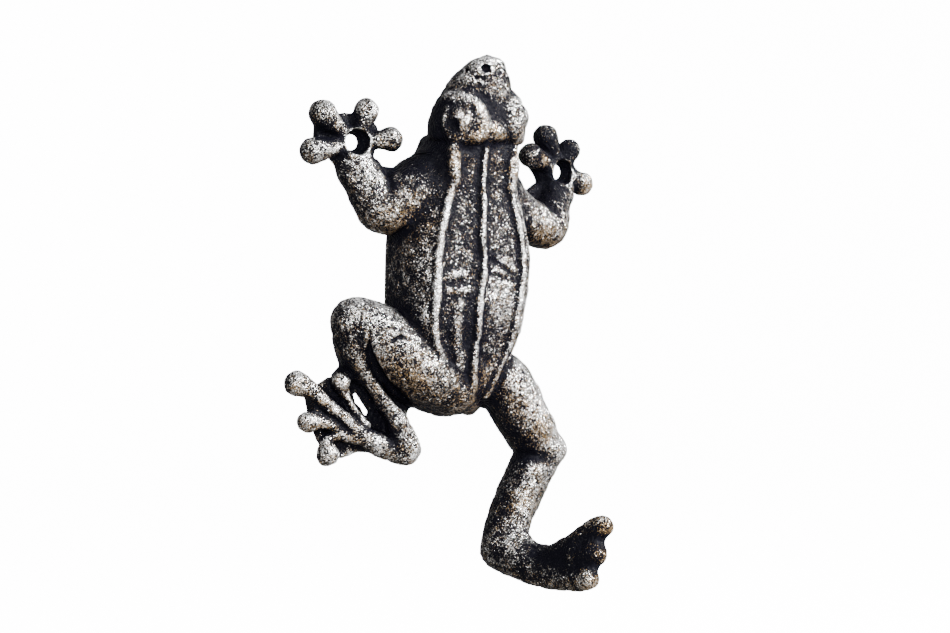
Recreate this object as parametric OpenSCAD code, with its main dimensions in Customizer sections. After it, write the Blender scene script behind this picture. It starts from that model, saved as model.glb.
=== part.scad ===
// Cast iron wall hook in the shape of a climbing frog.
// The frog climbs up the wall. +Z is up, the wall is the plane y = 0, and the
// frog stands out from it towards -Y. The origin is on the wall, midway between
// the two palm screw holes. Left and right are the frog's own.
// The hook is one casting. It is divided at its neck, shoulders, wrists, hips,
// knees and ankles into sections that meet face to face on flat cuts.

/* [Torso] */
// Width of the torso where it meets the wall
torso_w = 42; // [39:1:44]
// Width between the two side ridges of the back
back_w = 29; // [27:1:31]
// Depth of the torso at its side ridges
torso_d = 20; // [18:0.5:22]
// How far the ridges stand above the hollows between them
ridge_h = 1.4; // [0.6:0.1:2]
// Thickness of the iron over the hollow in the back of the torso
wall_t = 4; // [3:0.5:5]

/* [Head] */
// Half width of the head at the jaw
jaw_r = 14; // [13:0.5:15]
// Depth of the head at the brows
head_d = 20; // [19:0.5:21]
// Half distance between the eyes
eye_x = 9; // [8:0.5:10]

/* [Palms and screw holes] */
// Distance between the two screw holes, measured across the frog
hole_span = 70; // [68:0.5:72]
// How much higher the left screw hole is than the right one
hole_rise = 8; // [6:0.5:10]
// Diameter of each screw hole
hole_d = 4.4; // [4:0.1:5]
// Diameter of the countersink in the front of each palm
sink_d = 7.4; // [7:0.1:8]
// Length of the straight part of the hole, behind the countersink
land_t = 1; // [0.8:0.1:1.4]
// Depth at which the countersink reaches its full diameter
sink_h = 3.2; // [2.6:0.1:3.6]

/* [Limbs] */
// Radius of the wrists
wrist_r = 5.2; // [4.8:0.1:5.6]
// Radius of the thighs at their thickest
thigh_r = 9; // [8.5:0.1:9.5]
// Radius of the shins
shin_r = 6; // [5.6:0.1:6.4]
// Radius of the round finger and toe tips
tip_r = 3.6; // [3.2:0.1:3.8]
// Thickness of the webs between fingers and between toes
web_t = 2.6; // [2:0.1:3]

/* [Hook] */
// How far the middle toe of the hook stands out from the wall
hook_reach = 44.5; // [40:0.5:46]
// Radius of the hook where it leaves the heel
hook_r = 7; // [6.5:0.1:7.4]

/* [Hidden] */

iron = [0.20, 0.20, 0.21];
worn = [0.62, 0.61, 0.58];
fine = 64;      // facets of the screw holes
smooth = 24;    // facets of the rounded limbs
steps = 24;     // points round a section of the head
big = 300;

// A place given by its distance across the wall, up the wall and out from it.
function out(x, z, d) = [x, -d, z];

left_hole = [-hole_span / 2, hole_rise / 2];
right_hole = [hole_span / 2, -hole_rise / 2];

// ---- the cuts between sections, as pairs of [across, up] points ----
neck = [[-20, 1], [20, 1]];
left_shoulder = [[-27, -23], [-12, 2]];
right_shoulder = [[12.8, 2], [22, -25]];
left_wrist = [[-42, -5.5], [-12.5, 1.5]];
right_wrist = [[12, -1], [45, -13]];
left_hip = [[-26, -41], [-1, -74.5]];
right_hip = [[-1, -74.5], [15, -54]];
left_knee = [[-40, -41], [-15.2, -72.4]];
left_ankle = [[-24.5, -86], [-42, -59]];
right_knee = [[10, -85], [40, -88]];
hook_ankle = [-108, 24];    // height at the wall, and slope outwards in degrees

// Everything to the left of a cut, walking from its first point to its second.
module left_of(cut) {
    across = cut[1] - cut[0];
    translate([cut[0][0], 0, cut[0][1]])
        rotate([0, -atan2(across[1], across[0]), 0])
            translate([-big, -big, 0]) cube([2 * big, 2 * big, big]);
}
module right_of(cut) {
    left_of([cut[1], cut[0]]);
}
module above_hook_ankle() {
    translate([0, 0, hook_ankle[0]]) rotate([-hook_ankle[1], 0, 0])
        translate([-big, -big, 0]) cube([2 * big, 2 * big, big]);
}
module below_hook_ankle() {
    translate([0, 0, hook_ankle[0]]) rotate([-hook_ankle[1], 0, 0])
        translate([-big, -big, -big]) cube([2 * big, 2 * big, big]);
}
// The room in front of the wall.
module front() {
    translate([-big / 2, -big, -big / 2]) cube([big, big, big]);
}

// ---- building blocks ----
// Point halfway along stretch i of the smooth curve through a list of joints.
function midway(joints, i) =
    let(last = len(joints) - 1, before = joints[max(i - 1, 0)], after = joints[min(i + 2, last)])
    (9 * (joints[i] + joints[i + 1]) - before - after) / 16;
// Round limb on a smooth curve through a list of [place, radius].
module limb(joints) {
    stations = [
        for (i = [0 : len(joints) - 2]) each [joints[i], midway(joints, i)],
        joints[len(joints) - 1]
    ];
    for (i = [0 : len(stations) - 2])
        hull() {
            translate(stations[i][0]) sphere(stations[i][1], $fn = smooth);
            translate(stations[i + 1][0]) sphere(stations[i + 1][1], $fn = smooth);
        }
}
// Skin over a list of rings that have the same number of points.
module loft(rings) {
    n = len(rings[0]);
    m = len(rings);
    polyhedron(
        [for (ring = rings) each ring],
        concat(
            [[for (i = [0 : n - 1]) i]],
            [for (j = [0 : m - 2]) for (i = [0 : n - 1])
                [j * n + i, (j + 1) * n + i, (j + 1) * n + (i + 1) % n, j * n + (i + 1) % n]],
            [[for (i = [n - 1 : -1 : 0]) (m - 1) * n + i]]
        )
    );
}

// ---- torso ----
// Each row: height, middle, share of the back width, of the wall width, of the depth.
torso_rows = [
    [-75, -0.6, 0.20, 0.26, 0.40],
    [-67, -2.0, 0.42, 0.50, 0.64],
    [-61, -2.7, 0.64, 0.68, 0.76],
    [-55, -3.2, 0.84, 0.84, 0.86],
    [-47, -3.8, 0.97, 0.95, 0.96],
    [-39, -3.1, 1.00, 0.99, 1.00],
    [-31, -2.5, 1.01, 1.01, 1.00],
    [-24, -2.4, 0.96, 1.00, 0.99],
    [-17, -2.2, 0.85, 0.95, 0.97],
    [-10, -2.0, 0.71, 0.84, 0.94],
    [-5, -1.5, 0.69, 0.72, 0.93],
    [0, -1.0, 0.68, 0.62, 0.93],
    [6, -0.6, 0.66, 0.56, 0.93]
];
function torso_ring(z, mid, w, foot, d) = [
    for (side = [-1, 1]) for (p = side < 0
        ? [[foot, 0], [foot - 0.3, d * 0.3], [w + 3.5, d * 0.75], [w + 1.3, d - 1],
           [w, d], [w - 1.8, d - ridge_h], [w * 0.45, d - ridge_h * 0.4], [1.8, d]]
        : [[0, d + 1], [1.8, d], [w * 0.45, d - ridge_h * 0.4], [w - 1.8, d - ridge_h],
           [w, d], [w + 1.3, d - 1], [w + 3.5, d * 0.75], [foot - 0.3, d * 0.3], [foot, 0]])
        out(mid + side * p[0], z, p[1])
];
module torso_form() {
    loft([for (r = torso_rows)
        torso_ring(r[0], r[1], back_w / 2 * r[2], torso_w / 2 * r[3], torso_d * r[4])]);
}
// Each row: height, half width as a share of the torso's, depth as a share.
hollow_rows = [
    [-58, 0.28, 0.55], [-50, 0.60, 0.86], [-41, 0.90, 1.00],
    [-30, 0.98, 1.00], [-19, 0.72, 0.94], [-12, 0.30, 0.60]
];
module torso_hollow() {
    translate([-2.8, 1, 0])
        loft([for (r = hollow_rows) [for (a = [0 : 15 : 180])
            out((torso_w / 2 - wall_t) * r[1] * -cos(a), r[0],
                (torso_d + 1 - wall_t) * r[2] * pow(sin(a), 0.7))]]);
}
module torso() {
    color(iron) difference() {
        intersection() {
            union() {
                torso_form();
                left_arm_form();
                right_arm_form();
                left_thigh_form();
                right_thigh_form();
            }
            front();
            right_of(neck);
            right_of(left_shoulder);
            right_of(right_shoulder);
            left_of(left_hip);
            left_of(right_hip);
        }
        torso_hollow();
    }
}

// ---- head ----
// Each row: height, middle, share of the jaw's half width, middle depth, half depth.
head_rows = [
    [-6, -1, 0.76, 10, 9],
    [1, -0.6, 0.94, 10, 9],
    [6, -0.2, 1.02, 11, 10.5],
    [11, 0.3, 0.99, 11.5, 10],
    [15, 0.6, 0.89, 12, 9],
    [19.5, 0.9, 0.75, 12, 8.5],
    [23.5, 1.3, 0.57, 13, 7],
    [26, 1.6, 0.44, 14, 5.8],
    [28, 1.9, 0.27, 14.8, 4],
    [29, 2, 0.14, 15, 2]
];
function rounded(v) = sign(v) * pow(abs(v), 0.8);
module head_form() {
    loft([for (r = head_rows) [for (i = [0 : steps - 1])
        let (a = -i * 360 / steps - 90)
        out(r[1] + jaw_r * r[2] * rounded(cos(a)), r[0],
            (r[3] + r[4] * rounded(sin(a))) * head_d / 20)]]);
    for (side = [-1, 1])
        limb([
            [out(side * eye_x + 0.2, 9.5, head_d - 4), 4.8],
            [out(side * (eye_x - 2.4), 15.5, head_d - 5), 3.4]
        ]);
}
module ear(side) {
    limb([
        [out(side * 9.6 - 0.6, 1.5, torso_d - 3), 2.6],
        [out(side * 9.4 - 0.7, -5, torso_d - 3), 2.4]
    ]);
}
module head() {
    color(worn) intersection() {
        union() {
            head_form();
            ear(-1);
            ear(1);
        }
        front();
        left_of(neck);
        right_of([[-17, 0], [-17, 20]]);
        left_of([[18, 0], [18, 20]]);
    }
}

// ---- arms ----
module left_arm_form() {
    limb([
        [out(-9, -7, 7), 10],
        [out(-18, -11, 6.5), 8.6],
        [out(-26.5, -15, 5), 7.2],
        [out(-31, -9.5, 4), 6.4],
        [out(-34.6, -1, 1.5), wrist_r]
    ]);
}
module right_arm_form() {
    limb([
        [out(7, -9, 7), 9],
        [out(18, -16.5, 6.5), 6.8],
        [out(29.6, -20.5, 5), 6.4],
        [out(33.4, -14, 4), 5],
        [out(35, -7, 2), wrist_r]
    ]);
}
module left_arm() {
    color(worn) intersection() {
        union() {
            left_arm_form();
            torso_form();
        }
        front();
        left_of(left_shoulder);
        right_of(left_wrist);
    }
}
module right_arm() {
    color(worn) intersection() {
        union() {
            right_arm_form();
            torso_form();
        }
        front();
        left_of(right_shoulder);
        right_of(right_wrist);
    }
}

// ---- hands ----
// Each finger: [across, up, out] of its tip.
left_fingers = [[-48.4, 1.4, 2.6], [-45.8, 12.2, 2.6], [-31.2, 13, 3.2], [-23.6, 5, 4.4]];
right_fingers = [[24, 0.8, 4.4], [29.8, 6.8, 3.2], [38.8, 2.6, 2.4], [43.6, -7.4, 2.6]];

module screw_hole(at) {
    translate([at[0], 0, at[1]]) rotate([90, 0, 0]) {
        translate([0, 0, -1]) cylinder(h = 12, d = hole_d, $fn = fine);
        translate([0, 0, land_t]) cylinder(h = sink_h - land_t, d1 = hole_d, d2 = sink_d, $fn = fine);
        translate([0, 0, sink_h]) cylinder(h = 9, d = sink_d, $fn = fine);
    }
}
module hand_form(hole, lean, wrist, fingers) {
    hull() {
        translate(out(hole[0] - lean, hole[1] + 0.6, -0.6)) sphere(5, $fn = smooth);
        translate(out(hole[0] + lean, hole[1] + 0.6, 1)) sphere(5, $fn = smooth);
    }
    hull() {
        translate(out(hole[0], hole[1], 0)) sphere(4.6, $fn = smooth);
        translate(wrist[0]) sphere(wrist[1], $fn = smooth);
    }
    for (f = fingers)
        hull() {
            translate(out(hole[0], hole[1], 2)) sphere(2.2, $fn = smooth);
            translate(out(f[0], f[1], f[2])) sphere(tip_r, $fn = smooth);
        }
    rotate([90, 0, 0]) linear_extrude(web_t)
        polygon(concat([hole - [0, 4]], [for (f = fingers) 0.2 * hole + 0.8 * [f[0], f[1]]]));
}
module left_hand() {
    color(worn) difference() {
        intersection() {
            hand_form(left_hole, 1.8, [out(-34.6, -4.5, 2), wrist_r], left_fingers);
            front();
            left_of(left_wrist);
        }
        screw_hole(left_hole);
    }
}
module right_hand() {
    color(worn) difference() {
        intersection() {
            hand_form(right_hole, -1.8, [out(35, -10.5, 2.4), wrist_r], right_fingers);
            front();
            left_of(right_wrist);
        }
        screw_hole(right_hole);
    }
}

// ---- left leg ----
module left_thigh_form() {
    limb([
        [out(-6.5, -66, 7.5), thigh_r],
        [out(-18.5, -59, 7.5), thigh_r + 1],
        [out(-29, -50.5, 7), thigh_r - 0.2],
        [out(-36, -46, 5), thigh_r - 2.4]
    ]);
}
module left_shin_form() {
    limb([
        [out(-36.2, -47, 5), thigh_r - 2.4],
        [out(-35, -58, 5), shin_r],
        [out(-27.6, -71, 5), shin_r],
        [out(-21.6, -82.5, 4), shin_r]
    ]);
}
left_toes = [[-40.6, -64.2, 3], [-53.2, -64.2, 2.6], [-50, -74.6, 2.6], [-44, -84.6, 2.6]];
module left_foot_form() {
    sole = [-29, -79.5];
    limb([[out(-22, -83, 4), shin_r - 0.6], [out(sole[0], sole[1], 2.5), 4.4]]);
    for (t = left_toes)
        limb([[out(sole[0] - 2, sole[1] + 1, 2.6), 2.8], [out(t[0], t[1], t[2]), tip_r]]);
    rotate([90, 0, 0]) linear_extrude(web_t)
        polygon(concat([sole - [0, 4]], [sole], [for (t = left_toes) 0.32 * sole + 0.68 * [t[0], t[1]]]));
}
module left_thigh() {
    color(worn) intersection() {
        union() {
            left_thigh_form();
            left_shin_form();
            torso_form();
        }
        front();
        right_of(left_hip);
        left_of(left_knee);
        left_of([[-60, -78], [0, -78]]);
    }
}
module left_shin() {
    color(worn) intersection() {
        union() {
            left_thigh_form();
            left_shin_form();
            left_foot_form();
        }
        front();
        right_of(left_knee);
        right_of(left_ankle);
    }
}
module left_foot() {
    color(worn) intersection() {
        union() {
            left_foot_form();
            left_shin_form();
        }
        front();
        left_of(left_ankle);
    }
}

// ---- right leg and hook ----
module right_thigh_form() {
    limb([
        [out(4, -60, 8), thigh_r],
        [out(11.5, -66, 9), thigh_r - 0.4],
        [out(19.5, -77, 9), thigh_r - 1.4],
        [out(25.6, -86, 8), thigh_r - 2]
    ]);
}
module right_shin_form() {
    limb([
        [out(25.6, -86, 8), thigh_r - 2],
        [out(19, -96, 8), shin_r + 0.8],
        [out(13.4, -106, 8), shin_r + 0.8],
        [out(11, -115, 9), hook_r]
    ]);
}
module hook_form() {
    heel = [out(11, -115, 9), hook_r];
    ball_of_foot = [out(14, -117.8, 22), hook_r - 1];
    limb([heel, ball_of_foot]);
    hull() {
        translate(ball_of_foot[0]) sphere(4.6, $fn = smooth);
        translate(out(23, -107, hook_reach - 7)) sphere(2.6, $fn = smooth);
        translate(out(18, -120.4, hook_reach - 8)) sphere(3.6, $fn = smooth);
    }
    for (tip = [out(24.4, -104.4, hook_reach - 2.5), out(21.6, -111.8, hook_reach - tip_r),
                out(18.4, -120.6, hook_reach - 4)])
        limb([[0.5 * (tip + ball_of_foot[0]), 3], [tip, tip_r + 0.2]]);
}
module right_thigh() {
    color(worn) intersection() {
        union() {
            right_thigh_form();
            right_shin_form();
            torso_form();
        }
        front();
        right_of(right_hip);
        left_of(right_knee);
    }
}
module right_shin() {
    color(worn) intersection() {
        union() {
            right_shin_form();
            right_thigh_form();
            hook_form();
        }
        front();
        right_of(right_knee);
        above_hook_ankle();
    }
}
module hook_foot() {
    color(worn) intersection() {
        union() {
            hook_form();
            right_shin_form();
        }
        front();
        below_hook_ankle();
    }
}

torso();
head();
left_arm();
left_hand();
right_arm();
right_hand();
left_thigh();
left_shin();
left_foot();
right_thigh();
right_shin();
hook_foot();
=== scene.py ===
"""Looks of a cast iron wall hook in the shape of a climbing frog.

The frog is one iron casting, so it is modelled as one: every muscle, ridge and toe is laid into a
block of "clay", a grid of signed distances in millimetres. The finished skin is taken off the clay,
given its cast grain by Geometry Nodes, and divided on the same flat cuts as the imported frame, so
each section replaces its own node.

Clay places are written (across, up, out): across the wall to the frog's right, up the wall, and out
from it. The scene itself is in metres, with the wall at y = 0 and the frog towards -Y.
"""

import logging
import math
from dataclasses import dataclass, field
from enum import Enum
from typing import Optional, Sequence

import bmesh
import bpy
import numpy as np
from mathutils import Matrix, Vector

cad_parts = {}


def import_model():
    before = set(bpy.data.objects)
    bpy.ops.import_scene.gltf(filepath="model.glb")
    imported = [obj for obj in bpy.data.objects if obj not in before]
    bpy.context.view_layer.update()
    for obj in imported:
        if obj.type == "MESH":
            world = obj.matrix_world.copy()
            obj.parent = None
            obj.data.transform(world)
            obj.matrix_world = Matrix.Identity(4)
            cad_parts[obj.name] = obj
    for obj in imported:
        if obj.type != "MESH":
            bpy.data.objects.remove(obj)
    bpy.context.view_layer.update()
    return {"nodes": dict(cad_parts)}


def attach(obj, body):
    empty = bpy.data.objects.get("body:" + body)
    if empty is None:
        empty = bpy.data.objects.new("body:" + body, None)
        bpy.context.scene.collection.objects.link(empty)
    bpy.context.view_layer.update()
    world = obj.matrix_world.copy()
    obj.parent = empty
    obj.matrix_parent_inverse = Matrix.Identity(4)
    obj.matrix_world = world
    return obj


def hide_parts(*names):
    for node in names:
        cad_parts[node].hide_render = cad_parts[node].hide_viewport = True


LOG = logging.getLogger("frog_hook")
MM = 0.001
FAR = 9.0
BODY = "root"
SLOT = "antique_iron"
FLOAT = "NodeSocketFloat"
VECTOR = "NodeSocketVector"

Place = tuple[float, float, float]
Spot = tuple[float, float]
Joint = tuple[float, float, float, float]
Axes = tuple[np.ndarray, np.ndarray, np.ndarray]


class Stroke(Enum):
    """What a modelling stroke does to the clay."""

    ADD = "add"
    CARVE = "carve"


# --------------------------------------------------------------------------------------------------
# Clay
# --------------------------------------------------------------------------------------------------


def flow(joints: Sequence[Joint], steps: int = 10) -> np.ndarray:
    """Runs a smooth curve through a list of joints.

    Args:
        joints: rows of across, up, out and radius.
        steps: stretches between one joint and the next.

    Returns:
        The curve's rows, in the same columns.
    """
    knots = np.array([joints[0], *joints, joints[-1]], dtype=float)
    rows = []
    for a, b, c, d in zip(knots, knots[1:], knots[2:], knots[3:]):
        for t in np.arange(steps) / steps:
            rows.append(
                0.5
                * (2 * b + (c - a) * t + (2 * a - 5 * b + 4 * c - d) * t**2 + (3 * b - a - 3 * c + d) * t**3)
            )
    rows.append(knots[-1])
    return np.array(rows)


def smooth_min(a: np.ndarray, b: np.ndarray, blend: float) -> np.ndarray:
    """Joins two distances with a fillet of about the given size.

    Args:
        a: first distance.
        b: second distance.
        blend: size of the fillet in millimetres.

    Returns:
        The joined distance.
    """
    if blend <= 0:
        return np.minimum(a, b)
    h = np.maximum(blend - np.abs(a - b), 0) / blend
    return np.minimum(a, b) - h * h * blend * 0.25


def smooth_max(a: np.ndarray, b: np.ndarray, blend: float) -> np.ndarray:
    """Keeps what two shapes share, with a rounded edge of about the given size.

    Args:
        a: first distance.
        b: second distance.
        blend: size of the rounding in millimetres.

    Returns:
        The shared distance.
    """
    return -smooth_min(-a, -b, blend)


class Clay:
    """A block of modelling clay: signed distances in millimetres on a grid, negative inside."""

    def __init__(self, low: Place, high: Place, pitch: float) -> None:
        """Sets up an empty block.

        Args:
            low: lowest corner as (across, up, out).
            high: highest corner.
            pitch: distance between grid points.
        """
        self.low = np.array(low, dtype=float)
        self.pitch = pitch
        count = np.ceil((np.array(high) - self.low) / pitch).astype(int) + 1
        self.values = np.full(tuple(count), FAR, dtype=np.float32)

    def window(self, low: np.ndarray, high: np.ndarray) -> tuple[tuple[slice, ...], Axes]:
        """Finds the grid points inside a box.

        Args:
            low: lowest corner of the box.
            high: highest corner of the box.

        Returns:
            The slices of the grid and the three axes' coordinates, shaped to broadcast.
        """
        first = np.maximum(np.floor((np.array(low) - self.low) / self.pitch).astype(int), 0)
        last = np.minimum(
            np.ceil((np.array(high) - self.low) / self.pitch).astype(int) + 1, self.values.shape
        )
        where = tuple(slice(a, max(a + 1, b)) for a, b in zip(first, last))
        axes = [
            (self.low[k] + self.pitch * np.arange(where[k].start, where[k].stop)).astype(np.float32)
            for k in range(3)
        ]
        return where, (axes[0][:, None, None], axes[1][None, :, None], axes[2][None, None, :])

    def work(self, where: tuple[slice, ...], distance: np.ndarray, blend: float, stroke: Stroke) -> None:
        """Lays a shape into the clay, or takes it away.

        Args:
            where: the grid points that the shape was measured on.
            distance: the shape's signed distance there.
            blend: size of the fillet between clay and shape.
            stroke: whether the shape is added or carved.
        """
        if stroke is Stroke.ADD:
            self.values[where] = smooth_min(self.values[where], distance, blend)
        else:
            self.values[where] = smooth_max(self.values[where], -distance, blend)

    def tube(
        self, joints: Sequence[Joint], blend: float = 1.0, stroke: Stroke = Stroke.ADD
    ) -> None:
        """Works a round limb, ridge or groove that follows a smooth curve.

        Args:
            joints: rows of across, up, out and radius along its middle.
            blend: size of the fillet to the clay around it.
            stroke: whether it is added or carved.
        """
        rows = flow(joints)
        margin = blend + 4 * self.pitch + 1.5
        reach = rows[:, 3:4] + margin
        low, high = rows[:, :3] - reach, rows[:, :3] + reach
        where, _ = self.window(low.min(axis=0), high.max(axis=0))
        distance = np.full(tuple(s.stop - s.start for s in where), FAR, dtype=np.float32)
        for n, (a, b) in enumerate(zip(rows, rows[1:])):
            patch, (x, z, d) = self.window(low[n : n + 2].min(axis=0), high[n : n + 2].max(axis=0))
            local = tuple(slice(p.start - w.start, p.stop - w.start) for p, w in zip(patch, where))
            along = b[:3] - a[:3]
            px, pz, pd = x - a[0], z - a[1], d - a[2]
            t = (px * along[0] + pz * along[1] + pd * along[2]) / max(float(along @ along), 1e-6)
            t = np.clip(t, 0, 1)
            gap = np.sqrt((px - t * along[0]) ** 2 + (pz - t * along[1]) ** 2 + (pd - t * along[2]) ** 2)
            distance[local] = np.minimum(distance[local], gap - (a[3] + t * (b[3] - a[3])))
        self.work(where, distance, blend, stroke)

    def ball(self, place: Place, radii: Place, blend: float = 0.8, stroke: Stroke = Stroke.ADD) -> None:
        """Works a ball or an egg.

        Args:
            place: its middle.
            radii: its half sizes across, up and out.
            blend: size of the fillet to the clay around it.
            stroke: whether it is added or carved.
        """
        middle, half = np.array(place), np.array(radii)
        margin = half + blend + 3
        where, (x, z, d) = self.window(middle - margin, middle + margin)
        u, v, w = (x - middle[0]) / half[0], (z - middle[1]) / half[1], (d - middle[2]) / half[2]
        near = np.sqrt(u * u + v * v + w * w)
        steep = np.sqrt((u / half[0]) ** 2 + (v / half[1]) ** 2 + (w / half[2]) ** 2)
        self.work(where, near * (near - 1) / np.maximum(steep, 1e-4), blend, stroke)

    def plate(
        self,
        outline: Sequence[Spot],
        depth: float,
        blend: float = 1.5,
        stroke: Stroke = Stroke.ADD,
    ) -> None:
        """Works a flat web that lies on the wall, or a slot right through to it.

        Args:
            outline: its corners as (across, up).
            depth: how far its face stands out from the wall.
            blend: size of the fillet to the clay around it.
            stroke: whether it is added or carved.
        """
        corners = np.array(outline, dtype=float)
        margin = blend + 3
        low = np.append(corners.min(axis=0) - margin, -2)
        high = np.append(corners.max(axis=0) + margin, depth + margin)
        where, (x, z, d) = self.window(low, high)
        x, z = x[:, :, 0], z[:, :, 0]
        nearest = np.full(np.broadcast(x, z).shape, np.inf, dtype=np.float32)
        inside = np.zeros(nearest.shape, dtype=bool)
        for a, b in zip(corners, np.roll(corners, -1, axis=0)):
            edge = b - a
            t = np.clip(((x - a[0]) * edge[0] + (z - a[1]) * edge[1]) / (edge @ edge), 0, 1)
            nearest = np.minimum(nearest, (x - a[0] - t * edge[0]) ** 2 + (z - a[1] - t * edge[1]) ** 2)
            spans = (a[1] > z) != (b[1] > z)
            rise = edge[1] if abs(edge[1]) > 1e-9 else 1e-9
            inside ^= spans & (x < a[0] + (z - a[1]) * edge[0] / rise)
        flat = np.where(inside, -1, 1) * np.sqrt(nearest)
        self.work(where, smooth_max(flat[:, :, None], d - depth, 1.5), blend, stroke)

    def sample(self, places: np.ndarray) -> np.ndarray:
        """Reads the distance at any places, between the grid points.

        Args:
            places: rows of (across, up, out).

        Returns:
            The distance at each place.
        """
        at = (places - self.low) / self.pitch
        limit = np.array(self.values.shape) - 2
        cell = np.clip(np.floor(at).astype(int), 0, limit)
        part = np.clip(at - cell, 0, 1)
        total = np.zeros(len(places))
        for i in (0, 1):
            for j in (0, 1):
                for k in (0, 1):
                    weight = (
                        (part[:, 0] if i else 1 - part[:, 0])
                        * (part[:, 1] if j else 1 - part[:, 1])
                        * (part[:, 2] if k else 1 - part[:, 2])
                    )
                    total += weight * self.values[cell[:, 0] + i, cell[:, 1] + j, cell[:, 2] + k]
        return total

    def slope(self, places: np.ndarray) -> np.ndarray:
        """Finds the outward direction at any places.

        Args:
            places: rows of (across, up, out).

        Returns:
            Unit rows that point out of the clay.
        """
        step = self.pitch * np.eye(3)
        rows = np.stack([self.sample(places + s) - self.sample(places - s) for s in step], axis=1)
        return rows / np.maximum(np.linalg.norm(rows, axis=1, keepdims=True), 1e-9)

    def heal(self) -> None:
        """Opens or closes the spots where the surface would touch itself along an edge."""
        v = self.values
        tiny = 0.02 * self.pitch
        for _ in range(12):
            found = 0
            for axis in range(3):
                a, b = (k for k in range(3) if k != axis)
                cuts = {}
                for i in (0, 1):
                    for j in (0, 1):
                        window = [slice(None)] * 3
                        window[a] = slice(i, v.shape[a] - 1 + i)
                        window[b] = slice(j, v.shape[b] - 1 + j)
                        cuts[i, j] = v[tuple(window)] < 0
                crossed = (cuts[0, 0] == cuts[1, 1]) & (cuts[0, 1] == cuts[1, 0]) & (cuts[0, 0] != cuts[0, 1])
                for spot in np.argwhere(crossed):
                    corners = []
                    for i in (0, 1):
                        for j in (0, 1):
                            corner = spot.copy()
                            corner[a] += i
                            corner[b] += j
                            corners.append(tuple(corner))
                    nearest = min(corners, key=lambda c: abs(v[c]))
                    v[nearest] = -tiny if v[nearest] >= 0 else tiny
                    found += 1
            if not found:
                return

    def skin(self) -> tuple[np.ndarray, np.ndarray]:
        """Takes the surface off the clay, as one vertex in each grid cell that it passes through.

        Returns:
            The vertices as (across, up, out), and the four-sided faces with their normals outwards.
        """
        solid = self.values < 0
        counts = np.zeros(tuple(n - 1 for n in solid.shape), dtype=np.int8)
        for i in (0, 1):
            for j in (0, 1):
                for k in (0, 1):
                    counts += solid[
                        i : solid.shape[0] - 1 + i, j : solid.shape[1] - 1 + j, k : solid.shape[2] - 1 + k
                    ]
        cells = np.argwhere((counts > 0) & (counts < 8))
        index = np.full(counts.shape, -1, dtype=np.int32)
        index[tuple(cells.T)] = np.arange(len(cells))
        total = np.zeros((len(cells), 3))
        hits = np.zeros(len(cells))
        corners = [(i, j, k) for i in (0, 1) for j in (0, 1) for k in (0, 1)]
        for a in corners:
            for axis in range(3):
                if a[axis]:
                    continue
                b = tuple(v + (n == axis) for n, v in enumerate(a))
                va = self.values[cells[:, 0] + a[0], cells[:, 1] + a[1], cells[:, 2] + a[2]]
                vb = self.values[cells[:, 0] + b[0], cells[:, 1] + b[1], cells[:, 2] + b[2]]
                crossed = (va < 0) != (vb < 0)
                t = np.where(crossed, va / np.where(crossed, va - vb, 1), 0)
                point = np.array(a) + t[:, None] * (np.arange(3) == axis)
                total[crossed] += point[crossed]
                hits[crossed] += 1
        vertices = self.low + self.pitch * (cells + total / hits[:, None])
        faces = []
        for axis in range(3):
            lower = [slice(None)] * 3
            upper = [slice(None)] * 3
            lower[axis], upper[axis] = slice(0, -1), slice(1, None)
            first, second = solid[tuple(lower)], solid[tuple(upper)]
            u, v = (axis + 1) % 3, (axis + 2) % 3
            for rising in (True, False):
                edges = np.argwhere(first & ~second if rising else ~first & second)
                edges = edges[(edges[:, u] > 0) & (edges[:, v] > 0)]
                ring = []
                for du, dv in ((0, 0), (1, 0), (1, 1), (0, 1)):
                    cell = edges.copy()
                    cell[:, u] -= du
                    cell[:, v] -= dv
                    ring.append(index[tuple(cell.T)])
                quad = np.stack(ring, axis=1)
                faces.append(quad if rising else quad[:, ::-1])
        return vertices, np.concatenate(faces)

    def settle(self, vertices: np.ndarray, rounds: int = 2) -> np.ndarray:
        """Moves vertices onto the true surface.

        Args:
            vertices: rows of (across, up, out) near the surface.
            rounds: how many steps to take.

        Returns:
            The moved vertices.
        """
        for _ in range(rounds):
            step = np.clip(self.sample(vertices), -0.5 * self.pitch, 0.5 * self.pitch)
            vertices = vertices - step[:, None] * self.slope(vertices)
        return vertices


# --------------------------------------------------------------------------------------------------
# The frog
# --------------------------------------------------------------------------------------------------


def eased(rows: Sequence[Sequence[float]], at: np.ndarray) -> list[np.ndarray]:
    """Reads the columns of a list of sections at any height, with a smooth curve through them.

    Args:
        rows: sections with their height first, from low to high.
        at: heights to read.

    Returns:
        One array for each further column.
    """
    table = np.array(rows, dtype=float)
    knots = table[:, 0]
    columns = []
    for values in table[:, 1:].T:
        tangent = np.gradient(values, knots)
        i = np.clip(np.searchsorted(knots, at) - 1, 0, len(knots) - 2)
        span = knots[i + 1] - knots[i]
        t = np.clip((at - knots[i]) / span, 0, 1)
        columns.append(
            (
                (2 * t**3 - 3 * t**2 + 1) * values[i]
                + (t**3 - 2 * t**2 + t) * span * tangent[i]
                + (3 * t**2 - 2 * t**3) * values[i + 1]
                + (t**3 - t**2) * span * tangent[i + 1]
            ).astype(np.float32)
        )
    return columns


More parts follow.
